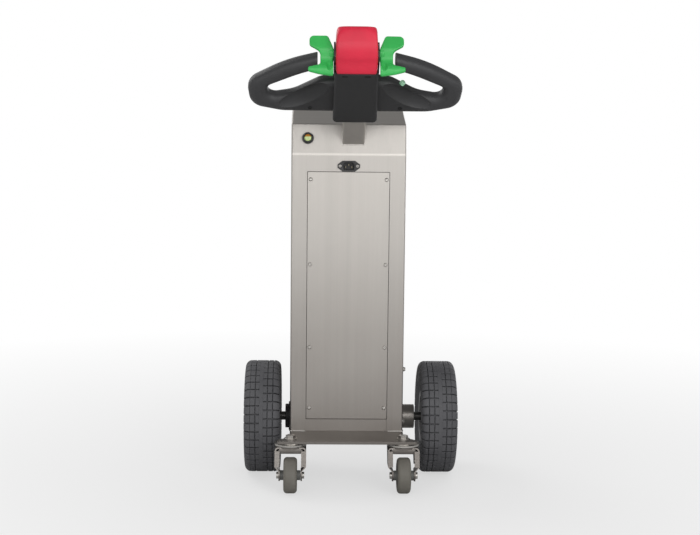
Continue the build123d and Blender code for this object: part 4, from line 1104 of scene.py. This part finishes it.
BEAD = 1.4
STEM_HALF, STEM_HALF_HEIGHT = 25.0, 12.5
foot_half = STEM_HALF_HEIGHT / math.cos(STEM_CLIMB - PANEL_LEAN)
stem_foot = [
    on_panel(across * STEM_HALF, STEM_UP_PANEL + up * foot_half)
    for across, up in ((-1, -1), (1, -1), (1, 1), (-1, 1))
]
piece("stem_weld", bead(stem_foot, BEAD, around=True), "stainless")

PLATE_WELD_RETURN = 34.0
plate_welds = []
for x, inward in ((SHELL_LOW.x, 1), (SHELL_HIGH.x, -1)):
    foot = [(x, PLATE_HIGH.y), (x, REAR_Y), (x + inward * PLATE_WELD_RETURN, REAR_Y)]
    plate_welds.append(bead([(*place, PLATE_HIGH.z) for place in foot], BEAD))
piece("plate_welds", joined("plate_welds", plate_welds), "stainless")


# Painted shade in the gap round the service cover: a near-black bead that fills it

GAP_SHADE, GAP_SHADE_DEEP = 0.5, 0.8
gap_shade_left, gap_shade_right = COVER_LOW.x - GAP_SHADE, COVER_HIGH.x + GAP_SHADE
gap_shade_low, gap_shade_high = COVER_LOW.z - GAP_SHADE, COVER_HIGH.z + GAP_SHADE
cover_rim = [
    Vector((x, REAR_Y + GAP_SHADE_DEEP, z)) for x, z in (
        (gap_shade_left, gap_shade_low), (gap_shade_right, gap_shade_low), (gap_shade_right, gap_shade_high), (gap_shade_left, gap_shade_high),
    )
]
piece("cover_seal", painted(bead(cover_rim, GAP_SHADE, around=True), SHADE_BLACK), "inlet_plastic")


# Welds of the coupling's tongue

TONGUE_BEAD = 2.4
# the tongue's upper and lower weld: height, half length
TONGUE_WELDS = ((202.0, 35.0), (190.0, 27.0))
tongue_welds = []
for height, half in TONGUE_WELDS:
    tongue_welds.append(bead([(-half, BRACKET_Y, height), (half, BRACKET_Y, height)], TONGUE_BEAD))
piece("tongue_welds", joined("tongue_welds", tongue_welds), "stainless")


# Studio: a pale floor that fades into a white surround, one soft key from the operator's right, soft fills

FLOOR_REACH = 30.0
FLOOR_TONE = (0.64, 0.64, 0.64)
# how far from the tug the floor turns to plain white, straight to the eye and in reflections, in metres
FADE_SEEN = (0.4, 2.2)
FADE_MIRRORED = (3.0, 9.0)
# the share of white that the eye sees in the floor, close to the tug and far off
WHITE_SEEN = (0.6, 1.0)
SURROUND = 0.5
# the surround in reflections: bright near the horizon, dimmer overhead, and the climb over which it changes
MIRRORED_LOW, MIRRORED_HIGH = 0.8, 0.26
MIRRORED_CLIMB = (0.1, 0.45)
# each lamp's place, target, watts, and width and height, in metres
LAMPS = {
    "key": ((1.4, -2.9, 1.6), (0, 0, 0.75), 35.0, (2.0, 1.6)),
    "fill": ((-1.0, -3.1, 1.45), (0, 0, 0.8), 21.0, (2.2, 1.4)),
    "front": ((1.3, 3.0, 0.75), (0, 0, 0.45), 18.0, (1.6, 1.0)),
    "rim": ((-1.8, 1.6, 2.4), (0, 0, 0.5), 25.0, (1.6, 1.6)),
}


def studio_floor():
    mesh = bpy.data.meshes.new("floor")
    corners = [(FLOOR_REACH * x, FLOOR_REACH * y, 0) for x, y in ((-1, -1), (1, -1), (1, 1), (-1, 1))]
    mesh.from_pydata(corners, [], [(0, 1, 2, 3)])
    floor = bpy.data.objects.new("floor", mesh)
    bpy.context.collection.objects.link(floor)
    pale = Finish("pale_floor", FLOOR_TONE, 0.8)
    rays = pale.node("ShaderNodeLightPath").outputs
    away = pale.node("ShaderNodeVectorMath", {0: pale.place}, operation="LENGTH").outputs["Value"]
    seen = pale.reckon("MULTIPLY", pale.span(away, *WHITE_SEEN, *FADE_SEEN), rays["Is Camera Ray"])
    mirrored = pale.reckon("MAXIMUM", rays["Is Glossy Ray"], rays["Is Transmission Ray"])
    mirrored = pale.reckon("MULTIPLY", pale.span(away, 0.0, 1.0, *FADE_MIRRORED), mirrored)
    white = pale.node("ShaderNodeEmission", {"Color": (1.0, 1.0, 1.0, 1.0), "Strength": 1.0})
    surface = pale.node("ShaderNodeMixShader", {
        0: pale.reckon("MAXIMUM", seen, mirrored), 1: pale.shader.outputs[0], 2: white.outputs[0],
    })
    pale.tree.links.new(surface.outputs[0], pale.tree.nodes["Material Output"].inputs["Surface"])
    mesh.materials.append(pale.material)


def surround():
    world = bpy.data.worlds.new("studio")
    world.use_nodes = True
    bpy.context.scene.world = world
    air = Wiring(world.node_tree)
    background = air.tree.nodes["Background"]
    background.inputs["Color"].default_value = (1.0, 1.0, 1.0, 1.0)
    rays = air.node("ShaderNodeLightPath").outputs
    way = air.node("ShaderNodeTexCoord").outputs["Generated"]
    climb = air.node("ShaderNodeSeparateXYZ", {"Vector": way}).outputs["Z"]
    mirrored = air.reckon("MAXIMUM", rays["Is Glossy Ray"], rays["Is Transmission Ray"])
    level = air.span(climb, MIRRORED_LOW, MIRRORED_HIGH, *MIRRORED_CLIMB)
    level = air.reckon("ADD", air.reckon("MULTIPLY", level, mirrored), air.span(mirrored, SURROUND, 0.0))
    level = air.reckon("MAXIMUM", level, rays["Is Camera Ray"])
    air.tree.links.new(level, background.inputs["Strength"])


def lamp(name, place, target, energy, size):
    data = bpy.data.lights.new(name, "AREA")
    data.energy = energy
    data.shape = "RECTANGLE"
    data.size, data.size_y = size
    obj = bpy.data.objects.new(name, data)
    obj.location = place
    obj.rotation_euler = (Vector(target) - Vector(place)).to_track_quat("-Z", "Y").to_euler()
    bpy.context.collection.objects.link(obj)


def camera():
    forward = Vector((
        math.sin(LOOK_RIGHT) * math.cos(LOOK_DOWN),
        math.cos(LOOK_RIGHT) * math.cos(LOOK_DOWN),
        -math.sin(LOOK_DOWN),
    ))
    right = forward.cross(UP).normalized()
    up = right.cross(forward)
    tipped_right = right * math.cos(TIP_OVER) + up * math.sin(TIP_OVER)
    tipped_up = up * math.cos(TIP_OVER) - right * math.sin(TIP_OVER)
    data = bpy.data.cameras.new("camera")
    data.lens = LENS
    data.sensor_width = 36.0
    data.sensor_fit = "HORIZONTAL"
    eye = bpy.data.objects.new("camera", data)
    turn = Matrix((tipped_right, tipped_up, -forward)).transposed()
    eye.matrix_world = Matrix.Translation(EYE) @ turn.to_4x4()
    bpy.context.collection.objects.link(eye)
    bpy.context.scene.camera = eye


studio_floor()
surround()
camera()
for name, row in LAMPS.items():
    lamp(name, *row)
bpy.context.scene.view_settings.view_transform = "Standard"
